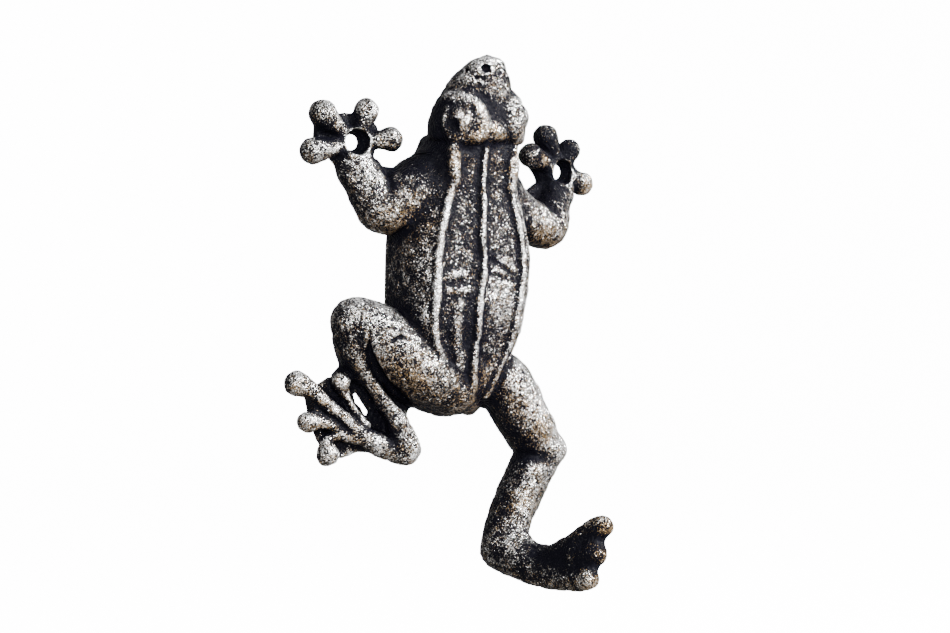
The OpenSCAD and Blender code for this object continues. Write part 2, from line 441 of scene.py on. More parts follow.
@dataclass
class Torso:
    """The body, with three ridges down its back and a hollow towards the wall."""

    wall_width: float = 42.0
    back_width: float = 29.0
    depth: float = 20.0
    ridge: float = 1.25
    arch: float = 1.0
    top: float = 6.5
    bottom: float = -75
    flank_power: float = 2.7
    belly: float = 0.8
    slant: float = 0.707
    bevel_r: float = 1.9
    hollow_middle: Place = (-2.8, -35.0, 0.0)
    hollow_size: Place = (15.5, 23.5, 15.5)
    # Height, middle, share of the back width, of the wall width and of the depth.
    sections: tuple[tuple[float, ...], ...] = (
        (-75, -0.6, 0.20, 0.26, 0.44),
        (-67, -2.0, 0.42, 0.50, 0.71),
        (-61, -2.7, 0.64, 0.68, 0.80),
        (-55, -3.2, 0.84, 0.84, 0.86),
        (-47, -3.8, 0.97, 0.95, 0.96),
        (-39, -3.1, 1.00, 0.99, 1.00),
        (-31, -2.5, 1.01, 1.01, 1.00),
        (-24, -2.4, 0.96, 1.00, 0.99),
        (-17, -2.2, 0.85, 0.95, 0.97),
        (-10, -2.0, 0.71, 0.84, 0.94),
        (-5, -1.5, 0.69, 0.72, 0.93),
        (0, -1.0, 0.68, 0.62, 0.93),
        (7, -0.6, 0.64, 0.52, 0.92),
    )

    def profile(self, up: np.ndarray) -> tuple[np.ndarray, ...]:
        """Reads the sections at any height.

        Args:
            up: heights.

        Returns:
            The middle, half width of the back, half width at the wall, and depth.
        """
        middle, back, wall, deep = eased(self.sections, up)
        return middle, back * self.back_width / 2, wall * self.wall_width / 2, deep * self.depth

    def crest(self, up: float, share: float, lift: float) -> Place:
        """Finds a place on the back.

        Args:
            up: height.
            share: how far across, from -1 at the left ridge to 1 at the right one.
            lift: how far above the hollows between the ridges.

        Returns:
            The place.
        """
        middle, back, _, deep = (float(v[0]) for v in self.profile(np.array([float(up)])))
        arch = self.arch * (1 - share * share)
        return (middle + share * back, up, deep - self.ridge + arch + lift)

    def model(self, clay: Clay) -> None:
        """Lays the torso into the clay.

        Args:
            clay: the clay to work.
        """
        low, high = np.array([-30, -79, -3]), np.array([26, 10, 26])
        where, (x, z, d) = clay.window(low, high)
        middle, back, wall, deep = (v.reshape(z.shape) for v in self.profile(z.ravel()))
        level = np.clip(d / deep, 0, 1.2)
        flank = back + (wall - back) * (1 - level**self.flank_power)
        flank += self.belly * np.clip(level - 0.4, 0, 1) * np.clip(1.05 - level, 0, 1) * 4
        share = np.clip((x - middle) / back, -1.3, 1.3)
        top = deep - self.ridge + self.arch * (1 - share**2)
        sides = 0.92 * (np.abs(x - middle) - flank)
        ends = np.maximum(z - self.top, self.bottom - z)
        form = smooth_max(smooth_max(sides, d - top, 1.6), ends, 2.5)
        bevel = self.slant * (middle - x - back + d - deep + 0.2)
        form = smooth_max(form, bevel, 0.8)
        clay.work(where, form, 1.0, Stroke.ADD)

    def ridges(self, clay: Clay) -> None:
        """Raises the three ridges of the back and the small folds between them.

        Args:
            clay: the clay to work.
        """
        heights = range(-9, -70, -6)
        left, right = (
            [(*self.crest(h, share * 0.97, 0.0), 1.1 if h > -40 else 1.0) for h in heights]
            for share in (-1, 1)
        )
        clay.tube(left, 0.9)
        clay.tube([(*self.crest(h, 1.07, 0.3 - self.bevel_r), self.bevel_r) for h in heights], 1.2)
        clay.tube(right, 0.9)
        beside_right = [(9.6, -57.5, 16.0, 0.7), (7.8, -62.5, 15.4, 0.8), (5.4, -69.0, 14.0, 0.8)]
        clay.tube(beside_right, 0.8, Stroke.CARVE)
        spine = [
            (*self.crest(h, 0.02 * math.sin(h * 0.35), 0.15), 1.05 + 0.12 * math.sin(h * 0.5))
            for h in range(4, -53, -4)
        ]
        clay.tube(spine, 1.0)
        tail = [(*self.crest(h, -0.02 - 0.006 * (-53 - h), -0.05), 1.4) for h in range(-54, -73, -4)]
        clay.tube(tail, 1.0)
        for up, a, b, lift in ((-33.4, -0.74, -0.42, -0.75), (-38.0, -0.72, -0.3, -0.65)):
            clay.tube([(*self.crest(up, s, lift), 0.95) for s in (a, (a + b) / 2, b)], 1.4)
        clay.tube([(*self.crest(h, -0.47, -0.7), 1.2) for h in (-42, -48, -54, -60)], 2.0)
        for (u1, s1), (u2, s2) in (((-29.6, 0.25), (-33.8, 0.72)), ((-33.8, 0.25), (-35.4, 0.78))):
            ends = [(*self.crest(u1, s1, 0.35), 0.7), (*self.crest(u2, s2, 0.45), 0.7)]
            clay.tube(ends, 1.1, Stroke.CARVE)
        clay.ball(self.crest(-59.2, 0.45, 2.7), (2.6, 2.6, 3.0), 2.0, Stroke.CARVE)
        for across, up in ((-4.5, -74.6), (2.2, -74.4), (6.4, -72.6)):
            clay.tube([(across, up + 6, 5.5, 2.6), (across * 1.1, up + 1.4, 4.0, 2.2)], 1.5)

    def hollow(self, clay: Clay) -> None:
        """Scoops out the back of the torso.

        Args:
            clay: the clay to work.
        """
        clay.ball(self.hollow_middle, self.hollow_size, 1.0, Stroke.CARVE)


@dataclass(frozen=True)
class Eye:
    """An eye on its swelling, with the brow that curls round it."""

    swelling: Place
    brow: tuple[Joint, ...]
    crescent: tuple[Joint, ...]
    socket: Place
    ball: Place
    rim: tuple[Joint, ...]
    nostril: Place
    swelling_size: Place = (6.6, 7.4, 8.0)
    socket_size: Place = (1.3, 2.1, 1.8)
    ball_size: Place = (4.2, 4.2, 3.0)


@dataclass
class Head:
    """The head, with its brows, eyes, nostrils and the two bumps behind them."""

    jaw: float = 14.0
    roundness: float = 2.15
    nostril_size: Place = (1.3, 1.25, 1.7)
    eyes: tuple[Eye, ...] = (
        Eye(
            (-6.8, 10.6, 12.4),
            (
                (-10.6, 16.8, 14.4, 1.2), (-7.4, 16.2, 17.2, 2.1), (-4.6, 13.9, 18.5, 2.5),
                (-3.0, 10.8, 18.8, 2.7), (-3.2, 7.6, 18.4, 2.7), (-5.6, 5.9, 17.8, 2.4),
                (-9.4, 5.4, 16.4, 1.9),
            ),
            (
                (-10.2, 13.5, 20.6, 0.6), (-8.6, 14.3, 21.0, 0.9), (-6.9, 13.7, 21.4, 1.1),
                (-6.2, 11.8, 21.4, 0.7),
            ),
            (-11.4, 9.0, 19.2),
            (-7.7, 10.4, 17.5),
            (
                (-12.2, 13.8, 16.0, 0.6), (-13.0, 11.0, 16.2, 0.7), (-12.8, 8.4, 16.2, 0.7),
                (-11.4, 5.6, 16.4, 0.8),
            ),
            (-1.2, 25.1, 19.6),
        ),
        Eye(
            (8.8, 10.8, 12.0),
            (
                (10.8, 16.8, 13.6, 1.8), (9.4, 14.9, 16.8, 2.4), (9.0, 12.0, 17.6, 2.9),
                (9.2, 8.6, 17.4, 2.9), (10.4, 6.2, 16.2, 2.4), (12.2, 5.6, 14.4, 1.8),
            ),
            ((13.0, 14.6, 17.6, 0.6), (12.6, 13.4, 18.6, 0.8), (12.2, 11.8, 19.0, 0.7)),
            (15.0, 8.6, 16.6),
            (11.6, 11.2, 14.2),
            ((14.4, 13.8, 13.0, 0.8), (15.2, 10.6, 12.6, 0.9), (14.6, 7.4, 13.6, 0.9)),
            (7.2, 24.4, 16.4),
            swelling_size=(7.8, 7.4, 8.0),
        ),
    )
    # Height, middle, half width as a share of the jaw's, middle depth and half depth.
    sections: tuple[tuple[float, ...], ...] = (
        (1, -0.6, 0.92, 10, 9.2),
        (6, -0.2, 1.00, 10.6, 9.6),
        (11, 0.3, 0.97, 10.6, 8.6),
        (15, 0.6, 0.88, 10.8, 7.9),
        (19.5, 0.9, 0.74, 11.6, 7.9),
        (23.5, 1.3, 0.57, 13, 7),
        (26, 1.6, 0.44, 14, 5.8),
        (28, 1.9, 0.27, 14.8, 4),
        (29.2, 2.0, 0.06, 15, 1.2),
    )

    def middle(self, up: float) -> float:
        """Where the head's middle plane is at a height."""
        return float(eased(self.sections, np.array([float(up)]))[0][0])

    def model(self, clay: Clay) -> None:
        """Lays the head into the clay.

        Args:
            clay: the clay to work.
        """
        where, (x, z, d) = clay.window(np.array([-20, 0, -4]), np.array([21, 33, 27]))
        middle, wide, centre, deep = (v.reshape(z.shape) for v in eased(self.sections, z.ravel()))
        wide = wide * self.jaw
        u, w = np.abs(x - middle) / wide, np.abs(d - centre) / deep
        ring = (u**self.roundness + w**self.roundness) ** (1 / self.roundness)
        form = (ring - 1) * np.minimum(wide, deep) * 0.9
        form = smooth_max(form, 4.4 - z, 2.2)
        form = smooth_max(form, z - 29.9, 2.0)
        clay.work(where, form, 1.2, Stroke.ADD)

    def features(self, clay: Clay) -> None:
        """Models the brows, eyes, nostrils, forehead and the bumps at the neck.

        Args:
            clay: the clay to work.
        """
        clay.ball((1.0, 7.8, 13.2), (8.0, 4.6, 7.2), 2.0)
        for eye in self.eyes:
            clay.ball(eye.swelling, eye.swelling_size, 2.0)
            clay.tube(eye.brow, 2.2)
        furrow = [
            (-6.6, 18.4, 19.6, 0.5),
            (-2.0, 17.4, 20.2, 1.0),
            (1.8, 14.9, 20.8, 1.4),
            (3.6, 12.4, 21.6, 1.1),
            (4.6, 9.8, 22.2, 0.7),
        ]
        clay.tube(furrow, 1.0, Stroke.CARVE)
        for eye in self.eyes:
            clay.ball(eye.ball, eye.ball_size, 0.8)
            clay.tube(eye.crescent, 0.5, Stroke.CARVE)
            clay.ball(eye.socket, eye.socket_size, 0.7, Stroke.CARVE)
            clay.tube(eye.rim, 1.2)
            clay.ball(eye.nostril, self.nostril_size, 0.5, Stroke.CARVE)
        bumps = (
            [(-10.6, 2.2, 16.6, 1.8), (-10.5, -2.2, 17.2, 2.1), (-10.7, -7.0, 17.2, 1.7)],
            [(9.6, 2.0, 16.6, 1.8), (9.0, -2.5, 17.2, 2.1), (8.2, -8.0, 17.2, 1.7)],
        )
        for bump in bumps:
            clay.tube(bump, 1.3)

    def pits(self, clay: Clay) -> None:
        """Carves the larger casting pits of the snout.

        Args:
            clay: the clay to work.
        """
        for off, up, out, radius in (
            (-5.0, 22.4, 18.9, 0.8),
            (-3.4, 22.2, 19.8, 0.8),
            (-4.5, 20.6, 19.4, 0.7),
            (2.2, 21.6, 20.9, 0.6),
            (-1.4, 20.6, 20.9, 0.7),
            (4.6, 19.6, 19.6, 0.6),
            (-5.8, 24.2, 15.2, 1.0),
        ):
            clay.ball((self.middle(up) + off, up, out), (radius, radius, radius * 1.3), 0.5, Stroke.CARVE)


@dataclass
class Arm:
    """An arm from shoulder to wrist, with the web in its crook and the slope up to the neck."""

    joints: tuple[Joint, ...]
    web: tuple[Spot, ...]
    shoulder: tuple[Joint, ...]
    web_depth: float = 4.0
    blend: float = 1.8

    def model(self, clay: Clay) -> None:
        """Lays the arm into the clay.

        Args:
            clay: the clay to work.
        """
        clay.tube(self.joints, self.blend)
        clay.plate(self.web, self.web_depth, 2.6)
        clay.tube(self.shoulder, 3.0)


@dataclass
class Hand:
    """A hand with four round-tipped fingers and a screw hole through its palm."""

    hole: Spot
    wrist: Joint
    fingers: tuple[Joint, ...]
    palm: tuple[Spot, ...]
    lean: float
    hole_r: float = 2.2
    sink_r: float = 3.7
    land: float = 1.0
    sink_depth: float = 3.2
    web: float = 2.6

    def model(self, clay: Clay) -> None:
        """Lays the hand into the clay.

        Args:
            clay: the clay to work.
        """
        x, z = self.hole
        clay.plate(self.palm, self.web, 1.6)
        clay.tube([(x, z - 1, 1.4, 4.6), self.wrist], 1.5)
        clay.tube([(x - self.lean, z + 0.4, -0.6, 5.3), (x + self.lean, z + 0.4, 0.9, 5.3)], 1.5)
        for across, up, out, radius in self.fingers:
            root = (0.7 * x + 0.3 * across, 0.7 * z + 0.3 * up, 0.3 * out + 1.6, 0.62 * radius)
            neck = (0.36 * x + 0.64 * across, 0.36 * z + 0.64 * up, 0.7 * out + 1.1, 0.72 * radius)
            clay.tube([root, neck, (across, up, out, radius)], 1.2)

    def drill(self, clay: Clay) -> None:
        """Drills and countersinks the screw hole.

        Args:
            clay: the clay to work.
        """
        reach = self.sink_r + 3
        x0, z0 = self.hole
        where, (x, z, d) = clay.window(
            np.array([x0 - reach, z0 - reach, -4]), np.array([x0 + reach, z0 + reach, 14])
        )
        rise = np.clip((d - self.land) / (self.sink_depth - self.land), 0, 1)
        radius = self.hole_r + rise * (self.sink_r - self.hole_r)
        clay.work(where, np.hypot(x - x0, z - z0) - radius, 0.5, Stroke.CARVE)


@dataclass
class LeftLeg:
    """The left leg, drawn up with its foot on the wall."""

    thigh: tuple[Joint, ...] = (
        (-6.0, -66.0, 7.0, 8.6),
        (-18.0, -59.5, 7.4, 9.8),
        (-29.0, -51.0, 6.6, 8.8),
        (-36.0, -46.4, 5.0, 6.6),
    )
    calf: tuple[Joint, ...] = ((-36.6, -47.4, 4.2, 6.0), (-36.2, -54.0, 3.8, 5.2), (-33.6, -60.5, 3.4, 4.2))
    shin: tuple[Joint, ...] = (
        (-38.2, -48.5, 6.6, 3.6),
        (-37.4, -54.0, 6.8, 3.0),
        (-35.8, -58.4, 6.8, 2.5),
        (-32.4, -63.2, 6.6, 2.3),
        (-27.6, -69.6, 6.4, 2.6),
        (-23.2, -75.8, 6.0, 3.2),
        (-20.4, -81.4, 5.0, 4.1),
        (-19.2, -84.4, 4.2, 4.5),
    )
    groove: tuple[Joint, ...] = (
        (-35.2, -49.6, 12.2, 0.4),
        (-34.4, -55.2, 10.9, 0.9),
        (-31.0, -60.8, 9.4, 1.4),
        (-26.2, -66.2, 7.8, 1.7),
        (-20.4, -72.0, 6.8, 1.9),
    )
    crook: tuple[Spot, ...] = (
        (-40.8, -52), (-38.8, -59.5), (-41.5, -62.0), (-38.0, -68.0), (-31.0, -77.0),
        (-27.0, -82.0), (-19.0, -83.0), (-16.5, -73.5), (-22.0, -62.0), (-31.0, -54.0),
    )
    slit: tuple[Spot, ...] = (
        (-34.9, -67.8), (-33.7, -67.6), (-29.7, -73.2), (-30.2, -74.4), (-31.7, -73.6), (-34.2, -70.2)
    )
    webs: tuple[tuple[float, tuple[Spot, ...]], ...] = (
        (4.3, ((-50.5, -66.5), (-49.6, -70.5), (-49, -73.5), (-41, -77), (-35, -79.5), (-33, -77),
               (-43, -68.5))),
        (1.9, ((-47.5, -65.4), (-42.5, -62.6), (-38, -66), (-33, -74), (-35, -78))),
        (2.2, ((-48, -76.5), (-46.4, -80.5), (-42.4, -86), (-38, -86), (-33.4, -84.8), (-29, -85),
               (-23, -86.6), (-21, -82), (-33, -77), (-42, -76.5))),
    )
    toes: tuple[tuple[Joint, ...], ...] = (
        ((-53.7, -63.9, 3.0, 3.7), (-49.4, -66.2, 3.8, 2.4), (-45.0, -69.8, 4.2, 1.9),
         (-40.0, -74.0, 4.4, 1.9), (-34.6, -78.8, 4.6, 2.2), (-28.6, -82.2, 4.4, 3.2)),
        ((-39.9, -64.0, 3.4, 3.0), (-38.6, -68.0, 4.0, 1.3), (-36.0, -72.2, 4.2, 1.2),
         (-32.6, -76.6, 4.2, 1.7)),
        ((-50.2, -74.8, 2.8, 3.1), (-46.4, -75.2, 3.8, 1.9), (-43.0, -76.3, 4.0, 1.6),
         (-39.5, -78.5, 4.1, 1.5), (-35.5, -80.0, 4.2, 1.9)),
        ((-43.8, -84.6, 2.8, 3.3), (-44.4, -80.8, 3.4, 1.6), (-41.4, -79.2, 3.8, 1.4),
         (-37.0, -79.9, 4.0, 1.5)),
    )
    heel: tuple[Joint, ...] = ((-33.0, -79.6, 3.4, 2.6), (-27.0, -83.0, 3.6, 3.4), (-19.4, -84.6, 3.8, 4.2))

    def model(self, clay: Clay) -> None:
        """Lays the leg and its foot into the clay.

        Args:
            clay: the clay to work.
        """
        clay.tube(self.thigh, 1.2)
        clay.tube([(-8.0, -69.4, 4.4, 5.6), (-15.0, -67.0, 4.0, 5.6), (-22.0, -64.5, 4.0, 4.0)], 2.0)
        clay.plate(self.crook, 2.4, 2.2)
        clay.tube(self.calf, 1.6)
        clay.tube(self.shin, 2.0)
        clay.tube(self.groove, 1.4, Stroke.CARVE)
        for depth, outline in self.webs:
            clay.plate(outline, depth, 1.4)
        clay.tube(self.heel, 1.4)
        for toe in self.toes:
            clay.tube(toe, 1.0)
        clay.plate(self.slit, 12.0, 0.9, Stroke.CARVE)
        crease = [(-29.6, -52.0, 15.2, 0.5), (-27.2, -51.0, 15.6, 0.6), (-24.8, -52.0, 16.2, 0.5)]
        clay.tube(crease, 0.5, Stroke.CARVE)


@dataclass
class RightLeg:
    """The right leg, which hangs straight down."""

    thigh: tuple[Joint, ...] = (
        (4.0, -60.0, 6.0, 7.6),
        (12.4, -66.5, 7.6, 8.4),
        (18.4, -77.0, 9.0, 8.0),
        (24.6, -85.6, 8.2, 7.0),
    )
    shin: tuple[Joint, ...] = (
        (25.2, -86.4, 8.0, 6.8),
        (19.8, -96.0, 8.0, 6.9),
        (14.4, -106.0, 8.0, 6.6),
        (11.6, -115.0, 9.0, 6.7),
    )

    def model(self, clay: Clay) -> None:
        """Lays the leg into the clay.

        Args:
            clay: the clay to work.
        """
        clay.tube(self.thigh, 1.2)
        clay.tube(self.shin, 1.2)
        clay.ball((28.6, -87.0, 8.6), (4.2, 4.0, 5.4), 2.0)
        clay.tube([(19.0, -92.0, 12.0, 3.2), (15.2, -102.0, 12.4, 3.0), (12.4, -112.0, 13.0, 3.2)], 2.4)
        for across, up in ((20.8, -73.6), (23.0, -77.2), (25.0, -80.8)):
            fold = [
                (across - 2.2, up + 1.2, 16.6, 0.35),
                (across + 1.0, up, 16.6, 0.5),
                (across + 4.0, up + 0.8, 14.2, 0.35),
            ]
            clay.tube(fold, 0.6, Stroke.CARVE)


@dataclass
class HookFoot:
    """The foot that stands out from the wall and curls up: the hook."""

    sole: tuple[Joint, ...] = (
        (11.4, -115.0, 9.0, 6.8),
        (12.3, -117.2, 15.0, 5.9),
        (14.2, -119.4, 22.0, 5.0),
        (16.8, -120.7, 30.0, 4.2),
        (18.4, -120.6, 37.0, 3.7),
        (19.0, -120.3, 41.4, 3.3),
    )
    upper: tuple[Joint, ...] = (
        (12.6, -113.2, 14.0, 4.6),
        (14.8, -115.4, 19.0, 3.4),
        (16.8, -115.4, 25.0, 2.9),
        (18.2, -113.2, 30.0, 2.7),
        (20.2, -109.8, 35.0, 2.8),
        (22.6, -106.6, 39.0, 3.1),
        (24.2, -105.6, 41.6, 3.1),
    )
    middle_toe: tuple[Joint, ...] = ((19.0, -114.0, 36.0, 3.0), (22.0, -113.3, 42.2, 3.0))
    web_r: float = 2.7

    def model(self, clay: Clay) -> None:
        """Lays the hook into the clay.

        Args:
            clay: the clay to work.
        """
        clay.tube(self.sole, 1.5)
        clay.tube(self.upper, 1.5)
        clay.tube(self.middle_toe, 1.2)
        top, bottom = np.array(self.upper), np.array(self.sole)
        for share in (0.2, 0.4, 0.6, 0.8):
            rows = []
            for out in (15.0, 20.0, 25.0, 30.0, 35.0, 40.0):
                edge = [[np.interp(out, line[:, 2], line[:, k]) for k in (0, 1)] for line in (top, bottom)]
                across, up = (edge[0][k] * (1 - share) + edge[1][k] * share for k in (0, 1))
                rows.append((across + 0.4, up, out, self.web_r))
            clay.tube(rows, 2.0)


@dataclass
class Frog:
    """The whole casting: every part in the order that it is modelled."""

    pitch: float = 0.4
    back_rounding: float = 0.6
    torso: Torso = field(default_factory=Torso)
    head: Head = field(default_factory=Head)
    left_arm: Arm = field(
        default_factory=lambda: Arm(
            (
                (-9.0, -7.0, 7.0, 9.8),
                (-18.0, -11.0, 6.5, 8.6),
                (-26.5, -15.0, 5.0, 7.2),
                (-31.0, -9.5, 4.0, 6.2),
                (-34.6, -2.0, 1.6, 5.3),
            ),
            ((-31, -6), (-27.6, -0.8), (-25.8, -2.4), (-21.5, -3.4), (-18.6, -1.2), (-13.5, 0.2),
             (-10.6, 2.9), (-8, -6), (-20, -13)),
            ((-7.0, -0.5, 8.0, 6.5), (-14.0, -5.5, 6.0, 6.0)),
        )
    )
    right_arm: Arm = field(
        default_factory=lambda: Arm(
            (
                (7.0, -9.0, 7.0, 8.6),
                (18.0, -16.5, 6.5, 6.8),
                (28.8, -20.5, 5.0, 6.4),
                (32.4, -14.0, 4.0, 5.0),
                (34.2, -8.0, 2.0, 4.8),
            ),
            ((31, -8.5), (27.5, -7.5), (21.5, -11.5), (15, -9), (12, -16), (30, -18)),
            ((7.0, -1.0, 8.0, 5.5), (10.0, -7.0, 7.0, 6.0)),
            2.6,
        )
    )
    left_hand: Hand = field(
        default_factory=lambda: Hand(
            (-35.0, 4.0),
            (-34.6, -4.0, 2.0, 5.2),
            ((-45.2, 11.9, 2.9, 4.0), (-31.2, 12.8, 3.2, 3.7), (-23.8, 5.0, 4.2, 3.5),
             (-48.2, 1.4, 2.6, 3.8)),
            ((-46.6, 10.2), (-47.2, 4.2), (-41, -1.8), (-38, -3.8), (-31, -3.5), (-27.6, 0.8), (-26.8, 8.6),
             (-28.6, 10.6), (-32.5, 12.0), (-37.4, 12.4)),
            1.8,
        )
    )
    right_hand: Hand = field(
        default_factory=lambda: Hand(
            (35.0, -4.0),
            (35.0, -10.4, 2.4, 4.8),
            ((24.0, 0.8, 4.4, 3.6), (29.8, 6.4, 3.4, 3.7), (38.8, 2.4, 2.6, 3.6), (43.4, -7.4, 2.6, 3.6)),
            ((25.4, -2.6), (27.6, 2.8), (34.6, 3.8), (40.6, -1.6), (41.4, -6), (39.4, -11), (31, -12),
             (28.5, -6)),
            -1.8,
        )
    )
    left_leg: LeftLeg = field(default_factory=LeftLeg)
    right_leg: RightLeg = field(default_factory=RightLeg)
    hook_foot: HookFoot = field(default_factory=HookFoot)

    def model(self) -> Clay:
        """Models the frog.

        Returns:
            The finished clay.
        """
        clay = Clay((-60, -128, -2.4), (51, 33, 49), self.pitch)
        self.torso.model(clay)
        self.left_arm.model(clay)
        self.right_arm.model(clay)
        self.left_leg.model(clay)
        self.right_leg.model(clay)
        self.hook_foot.model(clay)
        self.torso.ridges(clay)
        self.head.model(clay)
        self.head.features(clay)
        self.head.pits(clay)
        self.left_hand.model(clay)
        self.right_hand.model(clay)
        self.flatten(clay)
        self.torso.hollow(clay)
        self.left_hand.drill(clay)
        self.right_hand.drill(clay)
        clay.heal()
        return clay

    def flatten(self, clay: Clay) -> None:
        """Cuts the back of everything flat at the wall.

        Args:
            clay: the clay to work.
        """
        where, (_, _, out) = clay.window(np.array([-70, -140, -5]), np.array([70, 50, 6]))
        clay.values[where] = smooth_max(clay.values[where], -out, self.back_rounding)


# --------------------------------------------------------------------------------------------------
# Sections
# --------------------------------------------------------------------------------------------------


@dataclass(frozen=True)
class Cut:
    """A flat cut. What lies on the side of its normal is kept."""

    place: Place
    normal: Place

    @staticmethod
    def left_of(a: Spot, b: Spot) -> "Cut":
        """A cut square to the wall through two (across, up) points.

        Args:
            a: the first point.
            b: the second point.

        Returns:
            The cut, which keeps what is on the left of a to b.
        """
        along = np.array(b) - np.array(a)
        along = along / np.linalg.norm(along)
        return Cut((a[0], a[1], 0.0), (-along[1], along[0], 0.0))

    def other(self) -> "Cut":
        """The same cut, keeping the other side."""
        return Cut(self.place, tuple(-v for v in self.normal))

    def height(self, places: np.ndarray) -> np.ndarray:
        """How far places are on the kept side."""
        return (places - np.array(self.place)) @ np.array(self.normal)


NECK = Cut.left_of((-20, 1), (20, 1))
LEFT_SHOULDER = Cut.left_of((-27, -23), (-12, 2))
RIGHT_SHOULDER = Cut.left_of((12.8, 2), (22, -25))
LEFT_WRIST = Cut.left_of((-42, -5.5), (-12.5, 1.5))
RIGHT_WRIST = Cut.left_of((12, -1), (45, -13))
LEFT_HIP = Cut.left_of((-26, -41), (-1, -74.5))
RIGHT_HIP = Cut.left_of((-1, -74.5), (15, -54))
LEFT_KNEE = Cut.left_of((-40, -41), (-15.2, -72.4))
LEFT_ANKLE = Cut.left_of((-24.5, -86), (-42, -59))
RIGHT_KNEE = Cut.left_of((10, -85), (40, -88))
LEFT_OF_HEAD = Cut.left_of((-17, 0), (-17, 20))
RIGHT_OF_HEAD = Cut.left_of((18, 20), (18, 0))
LEFT_HALF = Cut.left_of((-1, -90), (-1, 0))
RIGHT_HALF = LEFT_HALF.other()
ABOVE_LEGS = Cut.left_of((-60, -32), (60, -32))
ABOVE_FEET = Cut.left_of((-60, -78), (60, -78))
HOOK_ANKLE = Cut((0, -108, 0), (0, math.cos(math.radians(24)), -math.sin(math.radians(24))))

SECTIONS: dict[str, tuple[Cut, ...]] = {
    "torso": (NECK.other(), LEFT_HIP, RIGHT_HIP, LEFT_SHOULDER.other(), RIGHT_SHOULDER.other()),
    "head": (NECK, LEFT_OF_HEAD.other(), RIGHT_OF_HEAD.other()),
    "left_arm": (ABOVE_LEGS, LEFT_HALF, LEFT_WRIST.other(), LEFT_SHOULDER),
    "left_hand": (LEFT_WRIST, LEFT_OF_HEAD),
    "right_arm": (ABOVE_LEGS, RIGHT_HALF, RIGHT_WRIST.other(), RIGHT_SHOULDER),
    "right_hand": (RIGHT_WRIST, RIGHT_OF_HEAD),
    "left_thigh": (ABOVE_LEGS.other(), LEFT_HALF, ABOVE_FEET, LEFT_KNEE, LEFT_HIP.other()),
    "left_shin": (ABOVE_LEGS.other(), LEFT_HALF, LEFT_KNEE.other(), LEFT_ANKLE.other()),
    "left_foot": (ABOVE_LEGS.other(), LEFT_HALF, LEFT_ANKLE),
    "right_thigh": (ABOVE_LEGS.other(), RIGHT_HALF, RIGHT_KNEE, RIGHT_HIP.other()),
    "right_shin": (RIGHT_KNEE.other(), RIGHT_HALF, HOOK_ANKLE),
    "hook_foot": (HOOK_ANKLE.other(), RIGHT_HALF),
}

# --------------------------------------------------------------------------------------------------
# Node trees
# --------------------------------------------------------------------------------------------------


class Wiring:
    """Builds a node tree, one node at a time, laid out from left to right."""

    def __init__(self, tree: bpy.types.NodeTree) -> None:
        """Starts with an empty tree.

        Args:
            tree: the tree to build.
        """
        self.tree = tree
        self.tree.nodes.clear()

    def add(self, kind: str, inputs: Optional[dict] = None, **settings: object) -> bpy.types.Node:
        """Adds a node.

        Args:
            kind: its type.
            inputs: for each input, named or numbered, a value or an output socket to link.
            settings: properties of the node.

        Returns:
            The new node.
        """
        node = self.tree.nodes.new(kind)
        node.location = (190 * (len(self.tree.nodes) - 1), 0)
        for name, value in settings.items():
            setattr(node, name, value)
        for key, value in (inputs or {}).items():
            if isinstance(value, bpy.types.NodeSocket):
                self.tree.links.new(value, node.inputs[key])
            else:
                node.inputs[key].default_value = value
        return node

    def group(self, tree: bpy.types.NodeTree, **inputs: object) -> bpy.types.NodeSocket:
        """Places a node group, sets or links its named inputs, and gives its result.

        Args:
            tree: the group.
            inputs: a value or an output socket for each input.

        Returns:
            The group's only output.
        """
        return self.add("ShaderNodeGroup", inputs, node_tree=tree).outputs[0]

    def maths(self, operation: str, *values: object) -> bpy.types.NodeSocket:
        """Adds a sum and gives its result."""
        node = self.add("ShaderNodeMath", dict(enumerate(values)), operation=operation)
        return node.outputs[0]

    def mix(self, factor: object, a: object, b: object) -> bpy.types.NodeSocket:
        """Adds a mix of two colours and gives its result."""
        node = self.add("ShaderNodeMix", {0: factor, 6: a, 7: b}, data_type="RGBA")
        return node.outputs[2]

    def noise(
        self, place: bpy.types.NodeSocket, scale: bpy.types.NodeSocket, detail: float, rough: float
    ) -> bpy.types.NodeSocket:
        """Adds a noise pattern and gives its value.

        Args:
            place: where it is read.
            scale: how many of its features fit in a metre.
            detail: how many finer layers it has.
            rough: how strong they are.

        Returns:
            A value around 0.5.
        """
        node = self.add(
            "ShaderNodeTexNoise", {"Vector": place, "Scale": scale, "Detail": detail, "Roughness": rough}
        )
        return node.outputs["Fac"]


def new_group(
    name: str,
    kind: str,
    inputs: Sequence[tuple[str, str, Optional[float]]],
    outputs: Sequence[tuple[str, str]],
) -> tuple[bpy.types.NodeTree, Wiring, bpy.types.Node]:
    """Makes a node group with named sockets.

    Args:
        name: the group's name.
        kind: the type of tree.
        inputs: name, socket type and default of each input.
        outputs: name and socket type of each output.

    Returns:
        The tree, its wiring, and its input node.
    """
    tree = bpy.data.node_groups.new(name, kind)
    for label, socket, value in inputs:
        made = tree.interface.new_socket(label, in_out="INPUT", socket_type=socket)
        if value is not None:
            made.default_value = value
    for label, socket in outputs:
        tree.interface.new_socket(label, in_out="OUTPUT", socket_type=socket)
    wiring = Wiring(tree)
    return tree, wiring, wiring.add("NodeGroupInput")


